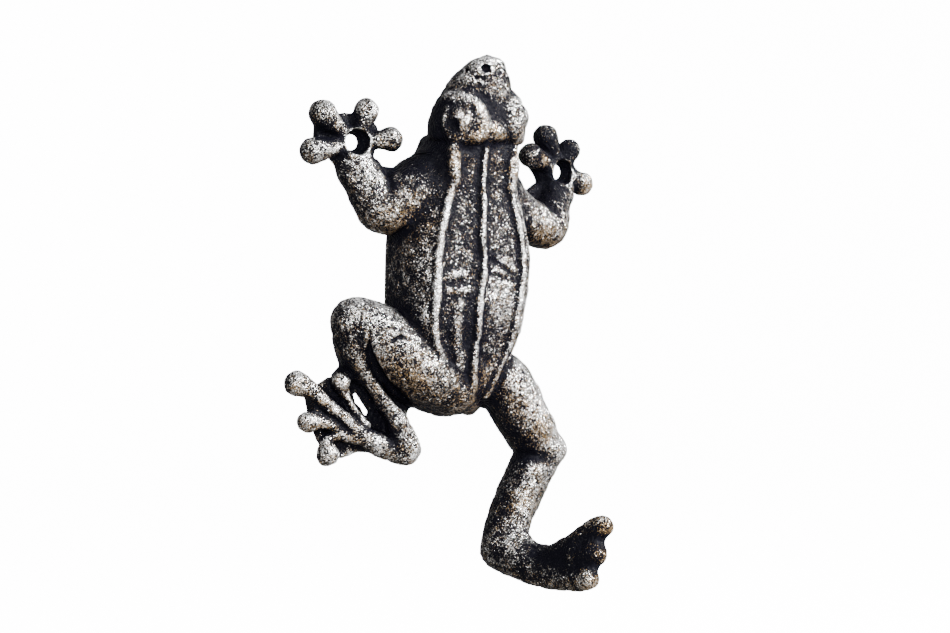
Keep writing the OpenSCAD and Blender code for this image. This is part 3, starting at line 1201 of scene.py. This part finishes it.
def speckle_group() -> bpy.types.NodeTree:
    """Makes the group for fine specks that gather in patches.

    Returns:
        The group: place, specks and patches to the metre, and the patches' share in; a value around 0 out.
    """
    tree, w, given = new_group(
        "speckle",
        "ShaderNodeTree",
        [
            ("Place", VECTOR, None),
            ("Speck", FLOAT, 2100.0),
            ("Patch", FLOAT, 420.0),
            ("Share", FLOAT, 0.5),
        ],
        [("Value", FLOAT)],
    )
    fine = w.noise(given.outputs["Place"], given.outputs["Speck"], 1.5, 0.7)
    broad = w.noise(given.outputs["Place"], given.outputs["Patch"], 3.0, 0.6)
    specks = w.maths("SUBTRACT", fine, 0.5)
    patches = w.maths("MULTIPLY", w.maths("SUBTRACT", broad, 0.5), given.outputs["Share"])
    w.add("NodeGroupOutput", {"Value": w.maths("ADD", specks, patches)})
    return tree


def dry_brush_group(speckle: bpy.types.NodeTree) -> bpy.types.NodeTree:
    """Makes the group that decides where the bright metal shows.

    Args:
        speckle: the group for fine specks.

    Returns:
        The group: place, wear and speckle strength in; a mask out.
    """
    tree, w, given = new_group(
        "dry_brush",
        "ShaderNodeTree",
        [
            ("Place", VECTOR, None),
            ("Wear", FLOAT, 0.0),
            ("Break", FLOAT, 1.0),
            ("Edge", FLOAT, 0.1),
        ],
        [("Mask", FLOAT)],
    )
    specks = w.group(speckle, Place=given.outputs["Place"])
    level = w.maths("MULTIPLY_ADD", specks, given.outputs["Break"], given.outputs["Wear"])
    low = w.maths("SUBTRACT", 0.5, given.outputs["Edge"])
    high = w.maths("ADD", 0.5, given.outputs["Edge"])
    mask = w.add(
        "ShaderNodeMapRange",
        {"Value": level, "From Min": low, "From Max": high},
        interpolation_type="SMOOTHSTEP",
    )
    w.add("NodeGroupOutput", {"Mask": mask.outputs[0]})
    return tree


def cast_grain_group() -> bpy.types.NodeTree:
    """Makes the group for the sandy surface of a casting.

    Returns:
        The group: place and grain size in; a height out.
    """
    tree, w, given = new_group(
        "cast_grain",
        "ShaderNodeTree",
        [("Place", VECTOR, None), ("Grain", FLOAT, 2200.0)],
        [("Height", FLOAT)],
    )
    place, size = given.outputs["Place"], given.outputs["Grain"]
    sand = w.noise(place, size, 1.0, 0.6)
    cells = w.add("ShaderNodeTexVoronoi", {"Vector": place, "Scale": w.maths("MULTIPLY", size, 0.6)})
    height = w.maths("MULTIPLY_ADD", cells.outputs["Distance"], 0.5, sand)
    w.add("NodeGroupOutput", {"Height": height})
    return tree


# --------------------------------------------------------------------------------------------------
# Finish
# --------------------------------------------------------------------------------------------------


@dataclass(frozen=True)
class IronFinish:
    """Black iron whose high places are rubbed to bright metal, with painted near-white glints as highlights
    on the most worn specks, and a warm brown tint that is partly painted warm reflection.
    """

    black: tuple[float, float, float, float] = (0.0032, 0.0032, 0.0055, 1)
    bright: tuple[float, float, float, float] = (0.115, 0.114, 0.105, 1)
    painted_glint: tuple[float, float, float, float] = (0.96, 0.96, 0.96, 1)
    warm_brown: tuple[float, float, float, float] = (0.26, 0.15, 0.045, 1)
    black_roughness: float = 0.36
    black_shine: float = 0.04
    bright_roughness: float = 0.27
    bright_metal: float = 0.75
    broken: float = 5.0
    edge: float = 0.3
    warm_break: float = 2.4
    warm_edge: float = 0.4
    warm_depth: float = 0.85
    warm_shift: Place = (0.3, 0.1, 0.2)
    glint_step: float = 0.42
    metal_height: float = 0.35
    grain: float = 1600.0
    grain_depth: float = 0.0004

    def make(self) -> bpy.types.Material:
        """Makes the material.

        Returns:
            The material.
        """
        material = bpy.data.materials.new(SLOT)
        material.use_nodes = True
        brush = dry_brush_group(speckle_group())
        w = Wiring(material.node_tree)
        place = w.add("ShaderNodeTexCoord").outputs["Object"]
        # Rubbed wear with painted light and shade worked in.
        wear_and_light = w.add("ShaderNodeAttribute", attribute_name="wear_and_light").outputs["Fac"]
        warmth = w.add("ShaderNodeAttribute", attribute_name="warmth").outputs["Fac"]
        bright = w.group(brush, Place=place, Wear=wear_and_light, Break=self.broken, Edge=self.edge)
        # Painted highlight: the most worn specks turn near-white, as glints of the lamps.
        dimmed = w.maths("SUBTRACT", wear_and_light, self.glint_step)
        glint = w.group(brush, Place=place, Wear=dimmed, Break=self.broken, Edge=self.edge)
        # Warm brown tint, mixed into the metal: partly painted warm reflection on faces that point down,
        # partly the listed warm patches.
        shifted = w.add("ShaderNodeVectorMath", {0: place, 1: self.warm_shift}, operation="ADD").outputs[0]
        warm_tint = w.group(brush, Place=shifted, Wear=warmth, Break=self.warm_break, Edge=self.warm_edge)
        grain = w.group(cast_grain_group(), Place=place, Grain=self.grain)
        height = w.maths("MULTIPLY_ADD", bright, self.metal_height, grain)
        bump = w.add("ShaderNodeBump", {"Height": height, "Distance": self.grain_depth, "Strength": 1.0})
        metal = w.mix(glint, self.bright, self.painted_glint)
        metal = w.mix(w.maths("MULTIPLY", warm_tint, self.warm_depth), metal, self.warm_brown)
        colour = w.mix(bright, self.black, metal)
        rough = w.add(
            "ShaderNodeMapRange",
            {"Value": bright, "To Min": self.black_roughness, "To Max": self.bright_roughness},
        )
        shader = w.add(
            "ShaderNodeBsdfPrincipled",
            {
                "Base Color": colour,
                "Metallic": w.maths("MULTIPLY", bright, self.bright_metal),
                "Roughness": rough.outputs[0],
                "Specular IOR Level": self.black_shine,
                "Normal": bump.outputs["Normal"],
            },
        )
        w.add("ShaderNodeOutputMaterial", {"Surface": shader.outputs[0]})
        return material


@dataclass(frozen=True)
class Patch:
    """A place where the finish is more worn, or less, than its shape alone would make it."""

    place: Place
    radius: float
    amount: float

    def weight(self, places: np.ndarray) -> np.ndarray:
        """How strongly the patch counts at places.

        Args:
            places: rows of (across, up, out).

        Returns:
            The weights, most in its middle and fading away.
        """
        gap = np.linalg.norm(places - np.array(self.place), axis=1) / self.radius
        return self.amount * np.exp(-gap * gap)


@dataclass(frozen=True)
class Wear:
    """How the rubbed finish follows the shape, with painted light and shade worked in: more bright metal on
    faces turned to the key lamp, and patches of painted highlight and painted shade.
    """

    base: float = -0.08
    bumps: float = 0.7
    swells: float = 0.42
    recess: float = 0.6
    facing: float = 0.4
    # Direction of the key lamp: faces turned towards it get more bright metal, which is partly painted light.
    light: Place = (0.62, 0.22, 0.75)
    near_reach: float = 1.1
    far_reach: float = 3.2
    open_reach: float = 3.5
    ring_points: int = 6
    # Painted warm reflection: faces that point down get this much more warm brown tint.
    underside_reflection: float = 0.26
    # Patches of rubbed wear, and of painted highlight and painted shade where noted below.
    patches: tuple[Patch, ...] = (
        Patch((-14, 12, 10), 8, -0.8),
        Patch((-15, 4, 8), 7, -0.7),
        Patch((-16, -4, 11), 7, -0.45),
        Patch((-21, -2, 4), 6, -0.6),
        Patch((-2, 17.2, 19), 1.8, -0.5),
        Patch((1.6, 14.8, 19.5), 2.2, -0.6),
        Patch((3.6, 12, 20), 1.8, -0.5),
        Patch((2.5, 18.8, 19), 3, 0.35),
        Patch((6.5, 16.5, 18), 3.5, 0.35),
        Patch((-9.5, 19, 12), 5, 0.5),
        Patch((-5.5, 21, 14), 4, 0.35),
        Patch((-8, 10.6, 20.5), 3.2, 0.35),
        Patch((1.6, 7.6, 21), 3, 0.4),
        Patch((3, 25.5, 19), 4, -0.3),
        Patch((-32, -52, 13), 9, 0.15),
        Patch((14, -97, 12), 7, 0.15),
        Patch((-2, 0, 20), 7, -0.35),
        Patch((-7.5, -20, 19), 9, -0.15),
        # Painted highlight: the key lamp's bright reflection in the right hollow of the back.
        Patch((5, -42, 19), 7, 0.45),
        Patch((-22, -32, 9), 10, 0.3),
        Patch((-7, -34, 19), 5, 0.2),
        Patch((-7, -50, 18), 8, -0.15),
        Patch((6, -30, 19), 5, 0.15),
        Patch((-41, 7, 3), 5, -0.2),
        Patch((-43, 8, 4), 16, -0.42),
        Patch((-50, -60, 4), 14, -0.32),
        Patch((25, -105, 44), 4, -0.55),
        Patch((22.5, -113.5, 44), 3.5, -0.5),
        Patch((20, -120, 43), 3.5, -0.4),
        # Painted highlight along the lit right side of the right thigh and knee.
        Patch((19, -72, 15), 6, 0.35),
        Patch((26, -84, 13), 5, 0.3),
        Patch((18, -97, 14), 6, 0.1),
        Patch((12.5, -105, 15), 6, 0.25),
        Patch((10, -114, 16), 4, 0.3),
        Patch((1, 22, 18), 6, -0.12),
        Patch((-25, -14, 10), 8, 0.12),
        Patch((-1, -68, 15), 7, -0.12),
        Patch((1.6, -59.4, 17), 3, 0.3),
        *(Patch(Torso().crest(up, -1.09, 0.1), 2.7, 0.3) for up in range(-13, -58, -4)),
        *(Patch(Torso().crest(up, 0, 1), 4, -0.3) for up in (-8, -27, -47, -57)),
        Patch((-34.5, 8.5, 3), 3, -0.3),
        # Right hand: painted shade on the fronts of the fingers, which face away from the lamp, and painted
        # highlights on their lit right edges and round the screw hole.
        Patch((34, 1, 4), 13, -0.9),
        Patch((29, -9, 4), 6.5, -0.8),
        Patch((23, 1, 7), 3.5, -0.5),
        Patch((28.6, 6.4, 6.5), 3.6, -0.8),
        Patch((37.6, 2.4, 6), 2.8, -0.6),
        Patch((33.4, 6.6, 3.5), 2, 0.6),
        Patch((42, 3, 3), 2, 0.7),
        Patch((44, -7, 4.5), 4, 0.3),
        Patch((39, -5.4, 4), 1.8, 0.9),
        Patch((36.6, -9, 4.4), 2.4, 0.8),
        Patch((31.2, -1.2, 4.4), 1.8, 0.8),
        Patch((27.4, -0.4, 6.4), 1.6, 1.0),
        # Painted highlight along the top of the right upper arm, and painted shade under the forearm.
        Patch((24, -19, 11), 4, 0.4),
        Patch((24, -25.5, 5), 4, -0.5),
        # Left hand: painted shade on the fingers' shaded sides, and painted highlights on their lit ridges.
        Patch((-48.4, 8.6, 4), 3.6, -0.6),
        Patch((-46, 5.6, 3), 3, -0.4),
        Patch((-28.4, 11, 4), 2.6, -0.5),
        Patch((-23.6, 1.8, 4), 3, -0.7),
        Patch((-50.6, -1.6, 2), 3, -0.6),
        Patch((-42, 10.4, 6), 2, 0.5),
        Patch((-42, 2.4, 5), 3, 0.4),
        Patch((-34.4, -3, 7), 5, 0.3),
        Patch((22, -112, 43), 7, -0.5),
        Patch((-11.6, 9.0, 18), 1.9, -0.5),
        Patch((-3.4, 10, 21), 4.5, 0.15),
        Patch((10, 11, 20), 4.5, -0.1),
        Patch((13, -70, 15), 8, 0.15),
        Patch((22, -80, 12), 6, 0.2),
        Patch((-20, -61, 17), 7, 0.2),
        Patch((-31, -72, 4), 6, -0.5),
        Patch((-26, -77, 4), 5, -0.45),
        Patch((8, -72, 10), 5, -0.5),
        Patch((12, -80, 11), 5, -0.5),
        Patch((17, -87, 13), 5, -0.7),
        Patch((8, -103, 10), 6, -0.35),
        Patch((15, -116, 24), 8, -0.4),
        Patch((18, -111, 33), 8, -0.5),
        Patch((9.5, -112, 14), 5, 0.25),
        # Painted highlight on the lit right side of the right knee.
        Patch((28, -82, 12), 6, 0.3),
    )
    # Patches of the warm brown tint, where it is stronger than the faces' direction alone makes it.
    warm_patches: tuple[Patch, ...] = (
        Patch((-22, -18, 10), 8, 0.4),
        Patch((24, -24, 9), 8, 0.4),
        Patch((-24, -62, 13), 8, 0.35),
        Patch((-46, -70, 4), 12, 0.2),
        Patch((-1, -68, 15), 9, 0.35),
        Patch((14, -70, 14), 8, 0.2),
        Patch((21, -80, 15), 5, 0.45),
        Patch((12, -102, 14), 7, 0.25),
        Patch((23, -108, 42), 7, 0.5),
        Patch((25, -107.5, 43), 3, 0.6),
        Patch((27, -0.5, 6), 2.5, 0.6),
        Patch((44, -8, 4.5), 2.5, 0.6),
        Patch((22.5, -114, 43), 2.5, 0.5),
        Patch((20, -121, 42), 5, 0.4),
        Patch((-3, 5, 21), 7, 0.35),
        Patch((9, -2, 19), 6, 0.3),
        Patch((-10, -2, 19), 6, 0.3),
    )

    def paint(self, clay: Clay, places: np.ndarray) -> tuple[np.ndarray, np.ndarray]:
        """Works out the wear with its painted light and shade, and the warm brown tint with its painted warm
        reflection, at places on the surface.

        Args:
            clay: the modelled clay.
            places: rows of (across, up, out).

        Returns:
            The wear with its painted light and shade, and the warmth of the colour.
        """
        outward = clay.slope(places)
        side = np.cross(outward, np.where(np.abs(outward[:, 1:2]) < 0.8, [[0, 1, 0]], [[1, 0, 0]]))
        side /= np.linalg.norm(side, axis=1, keepdims=True)
        rise = np.cross(outward, side)
        ring = [(math.cos(a), math.sin(a)) for a in np.arange(self.ring_points) * math.tau / self.ring_points]
        near, far = np.zeros(len(places)), np.zeros(len(places))
        for c, s in ring:
            near += clay.sample(places + self.near_reach * (c * side + s * rise)) / self.ring_points
            far += clay.sample(places + self.far_reach * (c * side + s * rise)) / self.ring_points
        openness = np.clip(clay.sample(places + self.open_reach * outward) / self.open_reach, 0, 1)
        light = np.array(self.light) / np.linalg.norm(self.light)
        wear_and_light = self.base + self.bumps * np.clip(near / 0.25, -0.4, 1.4)
        wear_and_light = wear_and_light + self.swells * np.clip(far / 0.9, -0.7, 1)
        wear_and_light -= self.recess * (1 - openness)
        # Painted light: faces turned up and to the right, towards the key lamp, get more bright metal, on top
        # of the side that the paint was rubbed from.
        wear_and_light += self.facing * (outward @ light)
        # Painted warm reflection: faces that point down get a warmer brown tint.
        warmth = self.underside_reflection - self.underside_reflection * outward[:, 1]
        for patch in self.patches:
            wear_and_light += patch.weight(places)
        for patch in self.warm_patches:
            warmth += patch.weight(places)
        return wear_and_light, warmth


# --------------------------------------------------------------------------------------------------
# Skin
# --------------------------------------------------------------------------------------------------


@dataclass(frozen=True)
class CastSkin:
    """The uneven surface that a sand mould leaves, made by Geometry Nodes."""

    grain_size: float = 1.3
    grain_depth: float = 0.34
    lump_size: float = 4.6
    lump_depth: float = 0.75
    seed: float = 7.0

    def tree(self) -> bpy.types.NodeTree:
        """Makes the tree, which moves every vertex a little in or out.

        Returns:
            The Geometry Nodes tree.
        """
        tree, w, given = new_group(
            "cast_skin",
            "GeometryNodeTree",
            [
                ("Geometry", "NodeSocketGeometry", None),
                ("Grain size", FLOAT, 1.0),
                ("Grain depth", FLOAT, 0.1),
                ("Lump size", FLOAT, 4.0),
                ("Lump depth", FLOAT, 0.3),
                ("Seed", FLOAT, 0.0),
                ("Material", "NodeSocketMaterial", None),
            ],
            [("Geometry", "NodeSocketGeometry")],
        )
        place = w.add("GeometryNodeInputPosition").outputs[0]
        guard = w.add("GeometryNodeInputNamedAttribute", {"Name": "guard"}, data_type="FLOAT").outputs[0]
        shift: Optional[bpy.types.NodeSocket] = None
        for kind in ("Grain", "Lump"):
            noise = w.add(
                "ShaderNodeTexNoise",
                {
                    "Vector": place,
                    "W": given.outputs["Seed"],
                    "Scale": w.maths("DIVIDE", 1 / MM, given.outputs[f"{kind} size"]),
                    "Detail": 2.0,
                },
                noise_dimensions="4D",
            )
            centred = w.maths("SUBTRACT", noise.outputs[0], 0.5)
            height = w.maths("MULTIPLY", centred, given.outputs[f"{kind} depth"])
            shift = height if shift is None else w.maths("ADD", shift, height)
        shift = w.maths("MULTIPLY", w.maths("MULTIPLY", shift, 2 * MM), guard)
        outward = w.add("GeometryNodeInputNormal").outputs[0]
        move = w.add("ShaderNodeVectorMath", {0: outward, "Scale": shift}, operation="SCALE")
        moved = w.add(
            "GeometryNodeSetPosition", {"Geometry": given.outputs["Geometry"], "Offset": move.outputs[0]}
        )
        real = w.add("GeometryNodeRealizeInstances", {"Geometry": moved.outputs[0]})
        painted = w.add(
            "GeometryNodeSetMaterial", {"Geometry": real.outputs[0], "Material": given.outputs["Material"]}
        )
        w.add("NodeGroupOutput", {"Geometry": painted.outputs[0]})
        return tree

    def apply(self, skin: bpy.types.Object, material: bpy.types.Material) -> bpy.types.Mesh:
        """Puts the cast surface on a mesh.

        Args:
            skin: the smooth skin.
            material: its finish.

        Returns:
            The new mesh.
        """
        tree = self.tree()
        modifier = skin.modifiers.new("cast_skin", "NODES")
        modifier.node_group = tree
        values = {
            "Grain size": self.grain_size,
            "Grain depth": self.grain_depth,
            "Lump size": self.lump_size,
            "Lump depth": self.lump_depth,
            "Seed": self.seed,
            "Material": material,
        }
        for item in tree.interface.items_tree:
            if item.item_type == "SOCKET" and item.in_out == "INPUT" and item.name in values:
                modifier[item.identifier] = values[item.name]
        graph = bpy.context.evaluated_depsgraph_get()
        mesh = bpy.data.meshes.new_from_object(skin.evaluated_get(graph), depsgraph=graph)
        skin.modifiers.remove(modifier)
        return mesh


def to_scene(places: np.ndarray) -> np.ndarray:
    """Turns clay places (across, up, out) in millimetres into scene places in metres."""
    return np.stack([places[:, 0], -places[:, 2], places[:, 1]], axis=1) * MM


@dataclass
class Casting:
    """The finished iron casting, as one piece for each section of the frame."""

    frog: Frog = field(default_factory=Frog)
    wear_and_light: Wear = field(default_factory=Wear)
    skin: CastSkin = field(default_factory=CastSkin)
    finish: IronFinish = field(default_factory=IronFinish)
    smooth_edge: float = 0.3
    wall_fade: float = 1.5
    hole_fade: float = 2.5

    def mesh(self) -> bpy.types.Mesh:
        """Models the frog and takes its whole skin off, with the finish painted on.

        Returns:
            The whole skin as one closed mesh.
        """
        clay = self.frog.model()
        vertices, faces = clay.skin()
        vertices = clay.settle(vertices)
        wear_and_light, warmth = self.wear_and_light.paint(clay, vertices)
        guard = np.clip((vertices[:, 2] - self.smooth_edge) / self.wall_fade, 0, 1)
        for hand in (self.frog.left_hand, self.frog.right_hand):
            gap = np.hypot(vertices[:, 0] - hand.hole[0], vertices[:, 1] - hand.hole[1])
            guard *= np.clip((gap - hand.hole_r - self.smooth_edge) / self.hole_fade, 0, 1)
        mesh = bpy.data.meshes.new("skin")
        mesh.from_pydata(to_scene(vertices).tolist(), [], faces.tolist())
        # The wear carries painted light and shade, and the warmth a painted warm reflection.
        for name, values in (("wear_and_light", wear_and_light), ("warmth", warmth), ("guard", guard)):
            mesh.attributes.new(name, "FLOAT", "POINT").data.foreach_set("value", values.astype(np.float32))
        mesh.shade_smooth()
        LOG.info("skin: %d vertices", len(vertices))
        return mesh

    def divide(self, whole: bmesh.types.BMesh, name: str) -> bpy.types.Mesh:
        """Cuts one section out of the whole skin and closes it.

        Args:
            whole: the whole skin, with its normals in a layer called shade.
            name: the section's name.

        Returns:
            The closed mesh, with the faces that close it marked in a layer called cap.
        """
        part = whole.copy()
        cap = part.faces.layers.int.new("cap")
        for cut in SECTIONS[name]:
            place = to_scene(np.array([cut.place]))[0]
            normal = -to_scene(np.array([cut.normal]))[0] / MM
            found = bmesh.ops.bisect_plane(
                part,
                geom=[*part.verts, *part.edges, *part.faces],
                dist=1e-7,
                plane_co=place,
                plane_no=normal,
                clear_outer=True,
            )
            rim = [e for e in found["geom_cut"] if isinstance(e, bmesh.types.BMEdge) and e.is_boundary]
            if not rim:
                continue
            filled = bmesh.ops.triangle_fill(
                part, edges=rim, use_beauty=False, use_dissolve=False, normal=normal
            )
            for face in filled["geom"]:
                if isinstance(face, bmesh.types.BMFace):
                    face[cap] = 1
                    if face.normal.dot(Vector(normal)) < 0:
                        face.normal_flip()
        loose = [v for v in part.verts if not v.link_faces]
        bmesh.ops.delete(part, geom=loose, context="VERTS")
        open_edges = sum(not e.is_manifold for e in part.edges)
        LOG.info("%s: %d faces, %d open edges", name, len(part.faces), open_edges)
        mesh = bpy.data.meshes.new(name)
        part.to_mesh(mesh)
        part.free()
        return mesh

    def shade(self, mesh: bpy.types.Mesh) -> None:
        """Gives a section the whole skin's normals, and flat ones on the faces that close it.

        Args:
            mesh: the section's mesh.
        """
        caps = np.zeros(len(mesh.polygons), dtype=np.int32)
        mesh.attributes["cap"].data.foreach_get("value", caps)
        shade = np.zeros(len(mesh.vertices) * 3, dtype=np.float32)
        mesh.attributes["shade"].data.foreach_get("vector", shade)
        corner = np.zeros(len(mesh.loops), dtype=np.int32)
        mesh.loops.foreach_get("vertex_index", corner)
        flat = np.zeros(len(mesh.polygons) * 3, dtype=np.float32)
        mesh.polygons.foreach_get("normal", flat)
        sizes = np.zeros(len(mesh.polygons), dtype=np.int32)
        mesh.polygons.foreach_get("loop_total", sizes)
        owner = np.repeat(np.arange(len(sizes)), sizes)
        closing = caps[owner][:, None] == 1
        normals = np.where(closing, flat.reshape(-1, 3)[owner], shade.reshape(-1, 3)[corner])
        for extra in ("cap", "shade", "guard"):
            mesh.attributes.remove(mesh.attributes[extra])
        mesh.shade_smooth()
        mesh.normals_split_custom_set(normals.tolist())

    def section(
        self, whole: bmesh.types.BMesh, name: str, material: bpy.types.Material
    ) -> bpy.types.Object:
        """Makes one finished section.

        Args:
            whole: the whole skin, with its normals in a layer called shade.
            name: the section's name.
            material: its finish.

        Returns:
            The closed piece.
        """
        mesh = self.divide(whole, name)
        self.shade(mesh)
        mesh.materials.clear()
        mesh.materials.append(material)
        piece = bpy.data.objects.new(f"{name}_cast", mesh)
        bpy.context.scene.collection.objects.link(piece)
        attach(piece, BODY)
        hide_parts(name)
        return piece

    def build(self) -> list[bpy.types.Object]:
        """Builds every section.

        Returns:
            The pieces.
        """
        material = self.finish.make()
        smooth = bpy.data.objects.new("smooth_skin", self.mesh())
        bpy.context.scene.collection.objects.link(smooth)
        cast = self.skin.apply(smooth, material)
        bpy.data.objects.remove(smooth)
        normals = np.zeros(len(cast.vertices) * 3, dtype=np.float32)
        cast.vertex_normals.foreach_get("vector", normals)
        cast.attributes.new("shade", "FLOAT_VECTOR", "POINT").data.foreach_set("vector", normals)
        whole = bmesh.new()
        whole.from_mesh(cast)
        pieces = [self.section(whole, name, material) for name in SECTIONS]
        whole.free()
        bpy.data.meshes.remove(cast)
        return pieces


# --------------------------------------------------------------------------------------------------
# Studio
# --------------------------------------------------------------------------------------------------


@dataclass(frozen=True)
class Softbox:
    """A rectangular light that points at the frog."""

    name: str
    place: Place
    size: float
    power: float

    def build(self, target: Vector) -> None:
        """Hangs the light.

        Args:
            target: the place it points at.
        """
        lamp = bpy.data.lights.new(self.name, "AREA")
        lamp.shape = "SQUARE"
        lamp.size = self.size
        lamp.energy = self.power
        holder = bpy.data.objects.new(self.name, lamp)
        bpy.context.scene.collection.objects.link(holder)
        holder.location = self.place
        holder.rotation_mode = "QUATERNION"
        holder.rotation_quaternion = (target - Vector(self.place)).to_track_quat("-Z", "Y")


@dataclass
class Studio:
    """The pale surroundings, the lights and the camera."""

    target: Place = (-0.0003, -0.012, -0.0461)
    distance: float = 0.65
    azimuth: float = -32.0
    elevation: float = 3.0
    lens: float = 85.0
    floor_z: float = -0.24
    wall_y: float = 1.5
    bend: float = 0.4
    bend_steps: int = 12
    width: float = 6.0
    reach: float = 2.5
    height: float = 2.4
    glow: float = 14.0
    paper: float = 0.9
    room_light: float = 0.4
    lights: tuple[Softbox, ...] = (
        Softbox("key", (0.5, -0.6, 0.4), 0.25, 39.0),
        Softbox("fill", (-0.6, -0.8, 0.3), 0.45, 15.0),
        Softbox("low", (0.3, -0.7, -0.5), 0.5, 3.0),
    )

    def surroundings(self) -> None:
        """Builds the floor that bends up into a backdrop."""
        profile = [(-self.reach, self.floor_z), (self.wall_y - self.bend, self.floor_z)]
        for n in range(1, self.bend_steps + 1):
            a = math.pi / 2 * n / self.bend_steps
            y = self.wall_y - self.bend + self.bend * math.sin(a)
            profile.append((y, self.floor_z + self.bend * (1 - math.cos(a))))
        profile.append((self.wall_y, self.height))
        vertices = [(x, y, z) for y, z in profile for x in (-self.width / 2, self.width / 2)]
        faces = [(2 * n, 2 * n + 1, 2 * n + 3, 2 * n + 2) for n in range(len(profile) - 1)]
        mesh = bpy.data.meshes.new("backdrop")
        mesh.from_pydata(vertices, [], faces)
        mesh.shade_smooth()
        paper = bpy.data.materials.new("paper")
        paper.use_nodes = True
        shader = paper.node_tree.nodes["Principled BSDF"]
        shader.inputs["Base Color"].default_value = (self.paper, self.paper, self.paper, 1)
        shader.inputs["Roughness"].default_value = 0.9
        shader.inputs["Emission Color"].default_value = (1, 1, 1, 1)
        shader.inputs["Emission Strength"].default_value = self.glow
        mesh.materials.append(paper)
        backdrop = bpy.data.objects.new("backdrop", mesh)
        bpy.context.scene.collection.objects.link(backdrop)
        backdrop.visible_diffuse = False
        backdrop.visible_glossy = False
        backdrop.visible_shadow = False

    def camera(self) -> None:
        """Sets up the camera."""
        data = bpy.data.cameras.new("camera")
        data.lens = self.lens
        a, e = math.radians(self.azimuth), math.radians(self.elevation)
        back = Vector((math.sin(a) * math.cos(e), -math.cos(a) * math.cos(e), math.sin(e)))
        holder = bpy.data.objects.new("camera", data)
        bpy.context.scene.collection.objects.link(holder)
        holder.location = Vector(self.target) + back * self.distance
        holder.rotation_mode = "QUATERNION"
        holder.rotation_quaternion = (-back).to_track_quat("-Z", "Y")
        bpy.context.scene.camera = holder

    def build(self) -> None:
        """Builds the studio."""
        self.surroundings()
        for light in self.lights:
            light.build(Vector(self.target))
        world = bpy.data.worlds.new("room")
        world.use_nodes = True
        background = world.node_tree.nodes["Background"]
        background.inputs["Color"].default_value = (1, 1, 1, 1)
        background.inputs["Strength"].default_value = self.room_light
        bpy.context.scene.world = world
        self.camera()


def main() -> None:
    """Builds the hook and the studio around it."""
    logging.basicConfig(level=logging.INFO, format="%(name)s: %(message)s")
    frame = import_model()
    pieces = Casting().build()
    missing = set(frame["nodes"]) - set(SECTIONS)
    LOG.info("%d pieces, frame nodes without one: %s", len(pieces), sorted(missing) or "none")
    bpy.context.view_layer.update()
    Studio().build()


if __name__ == "__main__":
    main()
